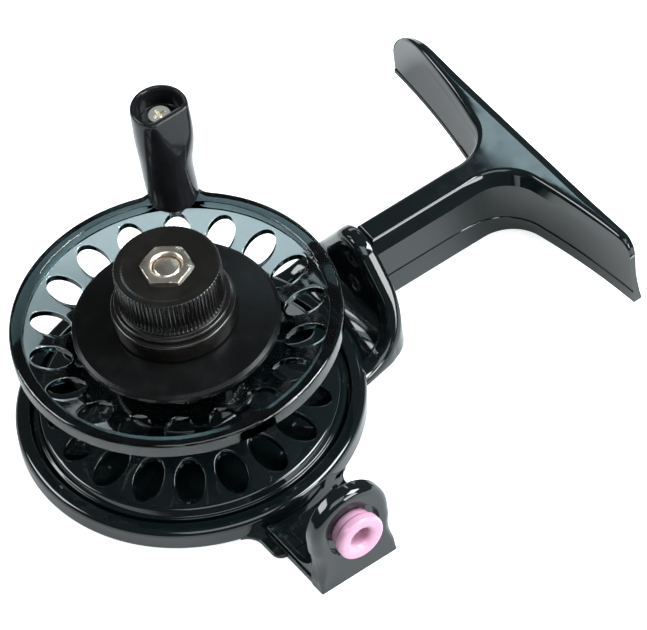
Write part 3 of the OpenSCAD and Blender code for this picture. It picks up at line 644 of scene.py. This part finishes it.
# lug: plate and foot with a scooped face, a rounded rim, a pocket and two screw holes
lugValues = {
    "reach": 47, "plate": 4, "topR": 7.1, "topZ": 16.1, "slope": radians(37.5), "scoop": 10, "floor": 3,
    "halfW": 17, "corner": 8, "flare": 0.2, "flareAt": 41.4, "cup": 34.3, "rim": 3.6, "pocket": 2,
    "bellEdge": 1.2, "lip": 2.2, "pocketCorner": 3, "pocketFloor": 1.2, "pocketEdge": 0.9, "backEdge": 1.4,
    "screws": (8.6, 17.1), "screwR": 1.53,
    "boxLow": (24, -20.2, -0.7), "boxHigh": (47.8, 20.2, 24.2), "cell": 0.36,
}


def smoothMax(a, b, blend):
    return np.maximum(a, b) + np.maximum(blend - np.abs(a - b), 0) ** 2 / (4 * blend)


def cornerField(a, b):
    return np.hypot(np.maximum(a, 0), np.maximum(b, 0)) + np.minimum(np.maximum(a, b), 0)


def lugField(x, y, z):
    lug = lugValues
    side = np.abs(y)
    wide = side - lug["flare"] * np.maximum(0, lug["flareAt"] - x) - lug["halfW"] + lug["corner"]
    plan = cornerField(x - lug["reach"] + lug["corner"], wide) - lug["corner"]
    rise = z - lug["topZ"]
    cs = cos(lug["slope"])
    sn = sin(lug["slope"])
    bell = np.where(rise * cs > side * sn, np.hypot(side, rise), side * cs + rise * sn) - lug["topR"]
    faceX = x - lug["reach"] + lug["plate"] + lug["scoop"]
    scoop = cornerField(faceX, lug["floor"] + lug["scoop"] - z) - lug["scoop"]
    solid = smoothMax(smoothMax(plan, bell, lug["bellEdge"]), -scoop, lug["lip"])
    within = smoothMax(bell, plan, lug["pocketCorner"]) + lug["rim"]
    hollow = smoothMax(within, scoop - lug["pocket"], lug["pocketFloor"])
    solid = smoothMax(smoothMax(solid, -hollow, lug["pocketEdge"]), -z, lug["backEdge"])
    for high in lug["screws"]:
        solid = np.maximum(solid, lug["screwR"] - np.hypot(y, z - high))
    return np.maximum(solid, lug["cup"] - np.hypot(x, y))


parts.append(fieldMesh(lugField, lugValues["boxLow"], lugValues["boxHigh"], lugValues["cell"]))

# spur below the line guide
spurValues = {
    "half": 11.5, "reach": 45.0, "thick": 1.0, "corner": 2.4, "fillet": 4, "edges": (0.25, 0.3),
    "rootAt": -35.0, "root": (13, -10), "filletSteps": 8, "cornerSteps": 6,
}


def spurSide(sign):
    fillet = spurValues["fillet"]
    corner = spurValues["corner"]
    cx = guideX * sign + spurValues["half"] + fillet
    cy = -sqrt((bodyValues["cupR"] + fillet) ** 2 - cx * cx)
    last = atan2(-cy, -cx)
    points = []
    for k in range(spurValues["cornerSteps"] + 1):
        t = -pi / 2 + pi / 2 * k / spurValues["cornerSteps"]
        x = cx - fillet - corner + corner * cos(t)
        points.append((x, corner - spurValues["reach"] + corner * sin(t)))
    for k in range(spurValues["filletSteps"] + 1):
        t = pi + (last - pi) * k / spurValues["filletSteps"]
        points.append((cx + fillet * cos(t), cy + fillet * sin(t)))
    return [(sign * x, y) for x, y in points]


root = [(x, spurValues["rootAt"]) for x in spurValues["root"]]
spur = spurSide(1) + root + spurSide(-1)[::-1]
parts.append(slab(spur, 0, spurValues["thick"], *spurValues["edges"], asDrawn))
piece("bodyShell", parts, "frame", smokeSolid, ("body",))
print("stage 5: body")

# leg: straight stem with a ledge and leaning sides, curved arms, hollow rod side
legValues = {
    "reach": 89.5, "lug": 47, "low": 3.7, "high": 22.0, "front": 39.2, "back": 47.6,
    "half": 2.9, "swell": 0.5, "flank": 17.4, "fillet": 9.6, "root": 5.9,
    "angle": radians(12.4), "curve": 190,
    "frontCorner": 3.8, "backCorner": 14, "saddle": 0.8, "saddleRim": 0.4,
    "farEdge": 1.5, "farStemEdge": 0.9, "stemEdge": 0.55, "nearEdge": 1.1, "rodEdge": 2.0, "rodDrop": 0.45,
    "thinEdge": 0.38, "thinRod": 0.55, "bandShare": 0.4, "stemThick": 9,
    "ledge": 0.25, "spread": 0.1, "lowEdge": 0.3, "lowMid": 0.09,
    "crease": 9.6, "armCrease": 7.0, "farCrease": 5.0, "creaseDrop": 0.12, "creaseHalf": 0.03,
    "creaseMid": 0.9, "foldHalf": 0.1, "foldMid": 0.02, "stemFrom": 70.0, "stemTo": 82.0, "stemWide": 14,
    "armSteps": 24, "bendSteps": 12, "stemSteps": 8, "rodSteps": 12, "edgeSteps": 8,
}
leg = legValues


def legTop(y):
    ends = ((y - leg["back"], leg["backCorner"]), (-y - leg["front"], leg["frontCorner"]))
    for past, corner in ends:
        over = past + corner
        if over > 0:
            return leg["high"] - corner + sqrt(max(0, corner ** 2 - over * over))
    return leg["high"]


# one side of the T from the arm's tip to the lug
def legSide(length):
    angle = leg["angle"]
    fillet = leg["fillet"]
    half = leg["half"] + leg["swell"]
    bendX = leg["reach"] - leg["root"] - fillet * cos(angle)
    bendY = half + fillet
    armX = bendX - (leg["curve"] - fillet) * cos(angle)
    armY = bendY + (leg["curve"] - fillet) * sin(angle)
    inner = bendY - fillet * sin(angle)
    arm = []
    for k in range(leg["armSteps"] + 1):
        y = inner + (length - inner) * sin(pi / 2 * (1 - k / leg["armSteps"]))
        arm.append((armX + sqrt(leg["curve"] ** 2 - (y - armY) ** 2), y))
    bend = []
    for k in range(1, leg["bendSteps"] + 1):
        t = -angle - (pi / 2 - angle) * k / leg["bendSteps"]
        bend.append((bendX + fillet * cos(t), bendY + fillet * sin(t)))
    stem = []
    for k in range(1, leg["stemSteps"] + 1):
        stem.append((bendX + (leg["lug"] - bendX) * k / leg["stemSteps"], half))
    return arm, bend, stem


# 1 on the stem, 0 on the arms
def stemShare(x, y):
    if abs(y) >= leg["stemWide"]:
        return 0
    return min(1, max(0, (leg["stemTo"] - x) / (leg["stemTo"] - leg["stemFrom"])))


def armThick(arm):
    return [leg["reach"] - x for x, y in arm]


farArm, farBend, farStem = legSide(leg["back"])
nearArm, nearBend, nearStem = [[(x, -y) for x, y in run] for run in legSide(leg["front"])]
rodNear = [(leg["reach"], y) for x, y in nearArm]
rodFar = [(leg["reach"], y) for x, y in reversed(farArm)]
rodGap = rodFar[0][1] - rodNear[-1][1]
rodMid = [(leg["reach"], rodNear[-1][1] + rodGap * k / leg["rodSteps"]) for k in range(1, leg["rodSteps"])]
stemRun = farArm + farBend + farStem + nearStem[::-1] + nearBend[::-1] + nearArm[::-1]
rodRun = rodNear + rodMid + rodFar
plan = stemRun + rodRun
normals = normalsOf(plan)
isRod = [False] * len(stemRun) + [True] * len(rodRun)
armCount = leg["armSteps"] + 1 + leg["bendSteps"]
edges = [leg["farEdge"]] * armCount + [leg["farStemEdge"]] * leg["stemSteps"]
edges += [leg["stemEdge"]] * leg["stemSteps"] + [leg["nearEdge"]] * armCount
edges += [leg["rodEdge"]] * len(rodRun)
thick = armThick(farArm) + [leg["stemThick"]] * (len(stemRun) - len(farArm) - len(nearArm))
thick += armThick(nearArm[::-1]) + armThick(nearArm)
thick += [leg["stemThick"]] * len(rodMid) + armThick(farArm[::-1])
edges = [min(e, leg["thinRod" if rod else "thinEdge"] * t) for e, t, rod in zip(edges, thick, isRod)]

tops = [legTop(y) for x, y in plan]
shares = [stemShare(x, y) for x, y in plan]
creases = []
for (x, y), share, top in zip(plan, shares, tops):
    armCrease = leg["farCrease"] if y > 0 else leg["armCrease"]
    creases.append(min(armCrease + (leg["crease"] - armCrease) * share, (top + leg["low"]) / 2))
edges = [min(e, (top - c) * leg["bandShare"]) for e, top, c in zip(edges, tops, creases)]
folds = [(c + top - e) / 2 for c, top, e in zip(creases, tops, edges)]
folds = [fold + (leg["flank"] - fold) * share for fold, share in zip(folds, shares)]
leans = [leg["swell"] * share for share in shares]
ledges = [0 if rod else -leg["ledge"] for rod in isRod]
bands = [0 if rod else -leg["ledge"] - leg["spread"] for rod in isRod]
saddleZ = (leg["low"] + leg["high"]) / 2
saddleHalf = (leg["high"] - leg["low"]) / 2 - leg["saddleRim"]


def legLoop(depths, heights):
    loop = []
    for (x, y), n, d, z, rod in zip(plan, normals, depths, heights, isRod):
        px = x - n[0] * d
        py = min(max(y - n[1] * d, -leg["front"]), leg["back"])
        if rod:
            px -= leg["saddle"] * max(0, 1 - ((z - saddleZ) / saddleHalf) ** 2)
        loop.append((px, py, z))
    return loop


flush = [0] * len(plan)
loops = []
for depth, rise in ((leg["lowEdge"], 0), (leg["lowMid"], leg["lowMid"]), (0, leg["lowEdge"])):
    loops.append(legLoop([band + depth for band in bands], [leg["low"] + rise] * len(plan)))
loops.append(legLoop(ledges, [c - leg["creaseDrop"] for c in creases]))
loops.append(legLoop([leg["creaseMid"] * d for d in ledges], [c - leg["creaseHalf"] for c in creases]))
loops.append(legLoop(flush, [c + leg["creaseHalf"] for c in creases]))
loops.append(legLoop(flush, [fold - leg["foldHalf"] for fold in folds]))
loops.append(legLoop([leg["foldMid"] * lean for lean in leans], [fold + leg["foldHalf"] for fold in folds]))
for k in range(leg["edgeSteps"] + 1):
    flat = k / leg["edgeSteps"]
    t = pi / 2 * flat
    depths = [lean + e * (flat if rod else 1 - cos(t)) for lean, e, rod in zip(leans, edges, isRod)]
    heights = []
    for top, e, (x, y), n, d, rod in zip(tops, edges, plan, normals, depths, isRod):
        drop = leg["rodDrop"] * (1 - flat) if rod else 1 - sin(t)
        heights.append(min(top, legTop(y - n[1] * d)) - e * drop)
    loops.append(legLoop(depths, heights))
verts, faces = loft(loops)

# close the two ends: strips of quads along the arms, one face over the stem
steps = leg["armSteps"]
rodStart = len(stemRun)
rodEnd = len(plan) - 1
for row in (0, len(loops) - 1):
    at = row * len(plan)
    for k in range(steps):
        faces.append((at + k, at + k + 1, at + rodEnd - k - 1, at + rodEnd - k))
        a = rodStart - 1 - k
        faces.append((at + a, at + a - 1, at + rodStart + k + 1, at + rodStart + k))
    middle = list(range(steps, rodStart - steps)) + list(range(rodStart + steps, rodEnd - steps + 1))
    faces.append(tuple(at + k for k in middle))
piece("legShell", [(verts, faces)], "frame", smokeLeg, ("leg",), 17)
print("stage 6: leg")

# line guide: plate with rounded edges, tab, tongue, peg and two rails
guideValues = {
    "front": 58.0, "back": 54.0, "half": 9.5, "archZ": 15.0, "waist": 0.5, "ringZ": 13.8,
    "hole": 4.66, "recessR": 6.3, "recess": 1.2,
    "round": 1.9, "tail": 0.5, "tailOver": 8, "footRound": 0.3, "backRound": 0.45,
    "footSteps": 14, "sideSteps": 18, "archSteps": 40, "backSteps": 4, "frontSteps": 6,
    "tabHalf": 9.4, "tabTop": 1.6, "tabFrom": 54.5, "tabTo": 45.1, "tabEdge": 0.2,
    "tongueFrom": 45.6, "tongueTo": 37.4, "tongueLow": 1.1, "tongueEdge": 0.1,
    "pegR": 1.5, "pegAt": 42.0, "pegLow": 0.1, "pegTop": 1.4, "pegColumns": 24,
    "railHalf": 9.0, "railThick": 1.3, "railFrom": 54.3, "railTo": 37.5, "railLow": 1.2, "railHigh": 7.05,
    "railTail": 2.6, "railEdge": 0.2,
    "sweepAt": (-46.95, 10.6), "sweepR": 8, "sweepFrom": radians(206), "sweepTurn": radians(64),
    "sweepSteps": 12,
}
guide = guideValues


def guideSide(z):
    reach = guide["archZ"]
    dz = z - reach / 2
    return min(guide["half"], guide["half"] - guide["waist"] + reach - sqrt(reach * reach - dz * dz))


outline = [(guide["half"] * (2 * k / guide["footSteps"] - 1), 0) for k in range(guide["footSteps"])]
rises = [guide["archZ"] * k / guide["sideSteps"] for k in range(guide["sideSteps"])]
outline += [(guideSide(z), z) for z in rises]
for k in range(guide["archSteps"]):
    t = pi * k / guide["archSteps"]
    outline.append((guide["half"] * cos(t), guide["archZ"] + guide["half"] * sin(t)))
outline += [(-guideSide(guide["archZ"] - z), guide["archZ"] - z) for z in rises]
normals = normalsOf(outline)
turns = [atan2(z - guide["ringZ"], x) for x, z in outline]
rounds = []
for i, (x, z) in enumerate(outline):
    share = min(1, max(0, z / guide["tailOver"]))
    soft = guide["tail"] + (guide["round"] - guide["tail"]) * share
    rounds.append(guide["footRound"] if i <= guide["footSteps"] else soft)


def guideRing(radius, y):
    return [(guideX + radius * cos(t), y, guide["ringZ"] + radius * sin(t)) for t in turns]


# the plate's rounded edge, from a face at y towards the middle of the plate
def guideEdge(y, inward, scale, turn):
    loop = []
    for (x, z), n, r in zip(outline, normals, rounds):
        depth = r * scale * (1 - sin(turn))
        loop.append((guideX + x - n[0] * depth, y + inward * r * scale * (1 - cos(turn)), z - n[1] * depth))
    return loop


loops = [guideRing(guide["hole"], -guide["back"])]
for k in range(guide["backSteps"] + 1):
    loops.append(guideEdge(-guide["back"], -1, guide["backRound"], pi / 2 * k / guide["backSteps"]))
for k in range(guide["frontSteps"] + 1):
    loops.append(guideEdge(-guide["front"], 1, 1, pi / 2 * (1 - k / guide["frontSteps"])))
for wider, deep in ((0.3, 0), (0.1, 0.06), (0, 0.25), (-0.05, 1.0), (-0.2, guide["recess"])):
    loops.append(guideRing(guide["recessR"] + wider, deep - guide["front"]))
loops.append(guideRing(guide["hole"], guide["recess"] - guide["front"]))
parts = [loft(loops, wrap=True)]


def guideStrip(fromY, toY, low, edge):
    strip = rectangle(guideX - guide["tabHalf"], guideX + guide["tabHalf"], -fromY, -toY)
    return slab(strip, low, guide["tabTop"], edge, edge, asDrawn)


parts.append(guideStrip(guide["tabFrom"], guide["tabTo"], 0, guide["tabEdge"]))
parts.append(guideStrip(guide["tongueFrom"], guide["tongueTo"], guide["tongueLow"], guide["tongueEdge"]))
pegEnds = (guide["pegLow"], guide["pegTop"])
peg = [(0, pegEnds[0]), (guide["pegR"], pegEnds[0]), (guide["pegR"], pegEnds[1]), (0, pegEnds[1])]
parts.append(lathe(peg, guide["pegColumns"], 0, (guideX, -guide["pegAt"])))
rail = [(-guide["railFrom"], guide["railLow"]), (-guide["railFrom"], guide["railHigh"])]
for k in range(guide["sweepSteps"] + 1):
    t = guide["sweepFrom"] + guide["sweepTurn"] * k / guide["sweepSteps"]
    sweepY, sweepZ = guide["sweepAt"]
    rail.append((sweepY + guide["sweepR"] * cos(t), sweepZ + guide["sweepR"] * sin(t)))
rail += [(-guide["railTo"], guide["railTail"]), (-guide["railTo"], guide["railLow"])]
for low in (guideX - guide["railHalf"], guideX + guide["railHalf"] - guide["railThick"]):
    parts.append(slab(rail, low, low + guide["railThick"], guide["railEdge"], guide["railEdge"],
                      lambda u, v, h: (h, u, v)))
piece("guideShell", parts, "frame", smokeSolid, ("guide_bracket",))

# ceramic ring: barrel in the plate and a lip in front of it
ringValues = {
    "bore": 2.3, "barrel": 4.62, "lip": 5.4, "back": 54.0, "neck": 58.4, "lipBack": 59.1, "front": 61.2,
    "columns": 96,
}
section = roundPath([
    (ringValues["bore"], ringValues["back"], 0.4),
    (ringValues["barrel"], ringValues["back"], 0.2),
    (ringValues["barrel"], ringValues["neck"], 0.4),
    (ringValues["lip"], ringValues["lipBack"], 0.5),
    (ringValues["lip"], ringValues["front"], 0.8),
    (ringValues["bore"], ringValues["front"], 1.5),
], 8, closed=True)
ringMesh = lathe(section, ringValues["columns"], closed=True,
                 place=lambda x, y, z: (guideX + x, -z, guide["ringZ"] + y))
piece("guideRingShell", [ringMesh], "frame", finishes["pinkCeramic"], ("guide_ring",))
print("stage 7: line guide")

# crank knob with its thumb flat and screw recess
knobValues = {
    "low": 31.3, "high": 59.0, "flat": 4.3, "tilt": radians(13), "blend": 0.5, "leastFacing": 0.05,
    "lean": (0.81, -0.58), "hole": 1.54, "wellFloor": 54.0, "wellEdge": 58.4, "wellShift": 0.1, "columns": 96,
}
# outside: height, radius, shift towards the lean, and how far the flat draws in
knobRows = [
    (31.3, 5.05, 0, 0), (31.4, 5.35, 0, 0), (31.75, 5.45, 0, 0), (34, 5.5, -0.05, 0), (37, 5.52, -0.2, 0),
    (40, 5.56, -0.26, 0), (43, 5.68, -0.2, 0), (45.5, 5.95, -0.02, 0), (48, 6.24, 0.12, 0),
    (50.5, 6.36, 0.2, 0), (53, 6.36, 0.2, 0), (55.5, 6.3, 0.18, 0), (57.6, 6.22, 0.15, 0),
    (58.5, 6.15, 0.15, 0), (58.85, 5.98, 0.15, 0.1), (59.0, 5.7, 0.15, 0.35),
]
# screw recess: height, radius and wall behind the flat
wellRows = [(59.0, 5.25, 0.75), (58.8, 5.02, 1.3), (58.4, 4.92, 1.3), (54.2, 4.88, 1.3), (54.0, 4.7, 1.3)]
knobTurns = turnsOf(knobValues["columns"])


def knobReach(r, z, t, inward):
    facing = -sin(t)
    if facing < knobValues["leastFacing"]:
        return r
    flat = knobValues["flat"] - inward + (knobValues["high"] - z) * tan(knobValues["tilt"])
    return softMin(r, flat / facing, knobValues["blend"])


def knobLoop(r, z, shift, flatZ, inward):
    cx = crankPlace[0] + knobValues["lean"][0] * shift
    cy = crankPlace[1] + knobValues["lean"][1] * shift
    loop = []
    for t in knobTurns:
        reach = knobReach(r, flatZ, t, inward)
        loop.append((cx + reach * cos(t), cy + reach * sin(t), z))
    return loop


loops = [circleAt(knobValues["hole"], knobValues["low"], knobTurns, crankPlace)]
loops += [knobLoop(r, z, shift, z, inward) for z, r, shift, inward in knobRows]
for z, r, wall in wellRows:
    loops.append(knobLoop(r, z, knobValues["wellShift"], min(z, knobValues["wellEdge"]), wall))
loops.append(circleAt(knobValues["hole"], knobValues["wellFloor"], knobTurns, crankPlace))
knobMesh = loft(loops, wrap=True)
piece("crankKnobShell", [knobMesh], "crank", finishes["blackGloss"], ("crank_knob",))
print("stage 8: crank knob")

# pressure disc: flat middle, sloping top and a brim that turns down
discValues = {
    "low": 30.0, "top": 31.2, "flatTo": 13.4, "bendAt": 18.6, "brimAt": 20.2, "brimLow": 28.95,
    "rimR": 21.9, "rimLow": 28.9, "rimTop": 30.05, "edgeR": 21.0, "edgeTop": 30.5, "columns": 192,
}
disc = roundPath([
    (axleHole, discValues["low"], 0),
    (discValues["bendAt"], discValues["low"], 0.3),
    (discValues["brimAt"], discValues["brimLow"], 0.4),
    (discValues["rimR"], discValues["rimLow"], 0.25),
    (discValues["rimR"], discValues["rimTop"], 0.25),
    (discValues["edgeR"], discValues["edgeTop"], 0.35),
    (discValues["flatTo"], discValues["top"], 0.4),
    (axleHole, discValues["top"], 0),
])
discMesh = lathe(disc, discValues["columns"], closed=True)
piece("pressureDiscShell", [discMesh], "frame", finishes["discBlack"], ("pressure_disc",))

# drag knob: skirt, a ring between two grooves and a fine knurl
dragValues = {
    "low": 31.5, "skirtR": 13.1, "skirtTop": 36.1, "grooveR": 11.7, "grooveLow": 36.2, "grooveTop": 36.5,
    "bandR": 12.25, "bandLow": 36.6, "bandTop": 37.35, "neckR": 11.2, "neckLow": 37.5, "neckTop": 37.8,
    "knurlR": 11.3, "knurlLow": 38.2, "knurlTop": 46.86, "knurlIn": 9, "flutes": 76, "perFlute": 10,
    "depth": 0.42, "fluteWide": 0.62, "fluteSharp": 1.2, "fadeLow": 0.35, "fadeTop": 0.3,
    "dishR": 6.6, "dish": 46.77, "nutFlat": 5.05, "nutFloor": 42.3, "springR": 8.6, "springTop": 36.05,
}
knurlHeights = (38.3, 38.45, 38.7, 40.5, 43, 45.5, 46.3)
# crown: radius and height, from the knurl in to the dish
crownRows = [
    (11.28, 46.55), (11.2, 46.75), (11.02, 46.87), (10.75, 46.9), (9.9, 46.9), (9.7, 46.88), (9.4, 46.8),
    (9.2, 46.78), (8.2, 46.77),
]
drag = dragValues


def knurlReach(r, z, t):
    if not drag["knurlLow"] < z < drag["knurlTop"] or r < drag["knurlIn"]:
        return r
    wave = (t * drag["flutes"] / (2 * pi)) % 1
    dip = max(0, cos((wave - 0.5) * 2 * pi * drag["fluteWide"])) ** drag["fluteSharp"]
    fade = min(1, (z - drag["knurlLow"]) / drag["fadeLow"], (drag["knurlTop"] - z) / drag["fadeTop"])
    return r - drag["depth"] * dip * fade


section = roundPath([
    (drag["springR"], drag["low"], 0),
    (drag["skirtR"], drag["low"], 0.4),
    (drag["skirtR"], drag["skirtTop"], 0.45),
    (drag["grooveR"], drag["grooveLow"], 0.2),
    (drag["grooveR"], drag["grooveTop"], 0.2),
    (drag["bandR"], drag["bandLow"], 0.3),
    (drag["bandR"], drag["bandTop"], 0.3),
    (drag["neckR"], drag["neckLow"], 0.2),
    (drag["neckR"], drag["neckTop"], 0.15),
    (drag["knurlR"], drag["knurlLow"], 0),
])
section += [(drag["knurlR"], z) for z in knurlHeights]
section += crownRows + [(drag["dishR"], drag["dish"])]
dragColumns = drag["flutes"] * drag["perFlute"]
turns = turnsOf(dragColumns)
outside = lathe(section, dragColumns, radiusOf=knurlReach)
inside = loft([
    circleAt(drag["dishR"], drag["dish"], turns),
    hexAt(drag["nutFlat"], drag["dish"], turns, nutTurn),
    hexAt(drag["nutFlat"], drag["nutFloor"], turns, nutTurn),
    circleAt(axleHole, drag["nutFloor"], turns),
    circleAt(axleHole, drag["springTop"], turns),
    circleAt(drag["springR"], drag["springTop"], turns),
    circleAt(drag["springR"], drag["low"], turns),
])
piece("dragKnobShell", [outside, inside], "knob", finishes["knobBlack"], ("drag_knob",))

# hex nut in the knob, its corners bevelled
nutValues = {
    "low": 42.3, "high": 47.5, "bevel": 0.5, "bevelFrom": 5.1, "lowFlat": 4.98, "faceR": 4.6,
    "columns": 96,
}
# top edge: half width across flats, and drop
nutRows = [(5.0, 0.14), (4.96, 0.04), (4.88, 0)]
# mouth of the bore: radius and height
mouthRows = [(3.75, 47.5), (3.55, 47.48), (3.46, 47.42), (3.08, 47.05), (3.04, 46.95)]
nutTurns = turnsOf(nutValues["columns"], nutTurn)


def nutLoop(flat, drop):
    loop = []
    for t in nutTurns:
        r = hexReach(t, flat, nutTurn)
        z = nutValues["high"] - drop - nutValues["bevel"] * max(0, r - nutValues["bevelFrom"])
        loop.append((r * cos(t), r * sin(t), z))
    return loop


loops = [hexAt(nutValues["lowFlat"], nutValues["low"], nutTurns, nutTurn)]
loops += [nutLoop(flat, drop) for flat, drop in nutRows]
loops.append(circleAt(nutValues["faceR"], nutValues["high"], nutTurns))
loops += [circleAt(r, z, nutTurns) for r, z in mouthRows]
loops.append(circleAt(axleHole, nutValues["low"], nutTurns))
piece("knobNutShell", [loft(loops, wrap=True)], "knob", finishes["zincSteel"], ("knob_nut",), 30)

# axle bolt: hex head in the body's back, its end inside the nut
axleValues = {"flat": 4.97, "head": 4.0, "shank": 3.0, "columns": 96}
# end: radius and height
endRows = [(3.0, 46.35), (2.96, 46.45), (2.6, 46.82), (2.45, 46.88), (1.0, 46.9)]
axleTurns = turnsOf(axleValues["columns"])
loops = [hexAt(axleValues["flat"], z, axleTurns) for z in (0.0, axleValues["head"])]
loops.append(circleAt(axleValues["shank"], axleValues["head"], axleTurns))
loops += [circleAt(r, z, axleTurns) for r, z in endRows]
axleMesh = loft(loops, caps=(0, -1))
piece("axleBoltShell", [axleMesh], "frame", finishes["zincSteel"], ("axle_bolt",), 30)
print("stage 9: drag")

# floor: a pale matte, with a glow that only the camera sees
floorValues = {"size": 4, "drop": 0.0003, "white": 0.82, "glow": 0.75}
bpy.ops.mesh.primitive_plane_add(size=floorValues["size"], location=(0, 0, -floorValues["drop"]))
floor = bpy.context.object
floor.name = "floor"
mat = bpy.data.materials.new("paleFloor")
mat.use_nodes = True
tree = mat.node_tree
tree.nodes.clear()
out = tree.nodes.new("ShaderNodeOutputMaterial")
diffuse = tree.nodes.new("ShaderNodeBsdfDiffuse")
diffuse.inputs["Color"].default_value = (floorValues["white"],) * 3 + (1,)
glow = tree.nodes.new("ShaderNodeEmission")
path = tree.nodes.new("ShaderNodeLightPath")
level = tree.nodes.new("ShaderNodeMath")
level.operation = "MULTIPLY"
level.inputs[1].default_value = floorValues["glow"]
tree.links.new(path.outputs["Is Camera Ray"], level.inputs[0])
tree.links.new(level.outputs[0], glow.inputs["Strength"])
both = tree.nodes.new("ShaderNodeAddShader")
tree.links.new(diffuse.outputs[0], both.inputs[0])
tree.links.new(glow.outputs[0], both.inputs[1])
tree.links.new(both.outputs[0], out.inputs["Surface"])
floor.data.materials.append(mat)

# lamps; footBox makes the pale patch on the foot
lampValues = {
    "topBox": {"place": (-0.12, -0.42, 0.75), "target": (0.03, 0, 0), "size": (0.6, 0.5),
               "watts": 3.6, "color": (0.88, 0.97, 1)},
    "keyBox": {"place": (-0.50, 0.50, 0.60), "target": (0.02, 0, 0.02), "size": (0.5, 0.35),
               "watts": 6.5, "color": (0.95, 0.98, 1)},
    "backBox": {"place": (0.45, 0.6, 0.3), "target": (0.02, 0, 0.02), "size": (0.5, 0.2),
                "watts": 0.8, "color": (0.92, 0.98, 1)},
    "rodBox": {"place": (0.48, -0.30, 0.62), "target": (0.05, 0, 0), "size": (0.4, 0.35),
               "watts": 12.0, "color": (0.88, 0.97, 1)},
    "frontBox": {"place": (0.22, -0.49, 0.26), "target": (0.05, 0, 0.02), "size": (0.25, 0.22),
                 "watts": 2.4, "color": (1, 1, 1)},
    "footBox": {"place": (0.2795, 0.2935, 0.40), "target": (0.2795, 0.2935, 0), "size": (0.042, 0.11),
                "watts": 0.092, "color": (0.66, 0.91, 1)},
}


def areaLight(name, place, target, size, watts, color):
    data = bpy.data.lights.new(name, "AREA")
    data.shape = "RECTANGLE"
    data.size, data.size_y = size
    data.energy = watts
    data.color = color
    lamp = bpy.data.objects.new(name, data)
    lamp.location = place
    lamp.rotation_mode = "QUATERNION"
    lamp.rotation_quaternion = (Vector(target) - Vector(place)).to_track_quat("-Z", "Y")
    bpy.context.scene.collection.objects.link(lamp)


for name, values in lampValues.items():
    areaLight(name, **values)

worldValues = {"color": (0.9, 0.95, 1, 1), "strength": 0.12}
world = bpy.data.worlds.new("studio")
bpy.context.scene.world = world
world.use_nodes = True
sky = world.node_tree.nodes["Background"]
sky.inputs["Color"].default_value = worldValues["color"]
sky.inputs["Strength"].default_value = worldValues["strength"]
print("stage 10: floor and light")
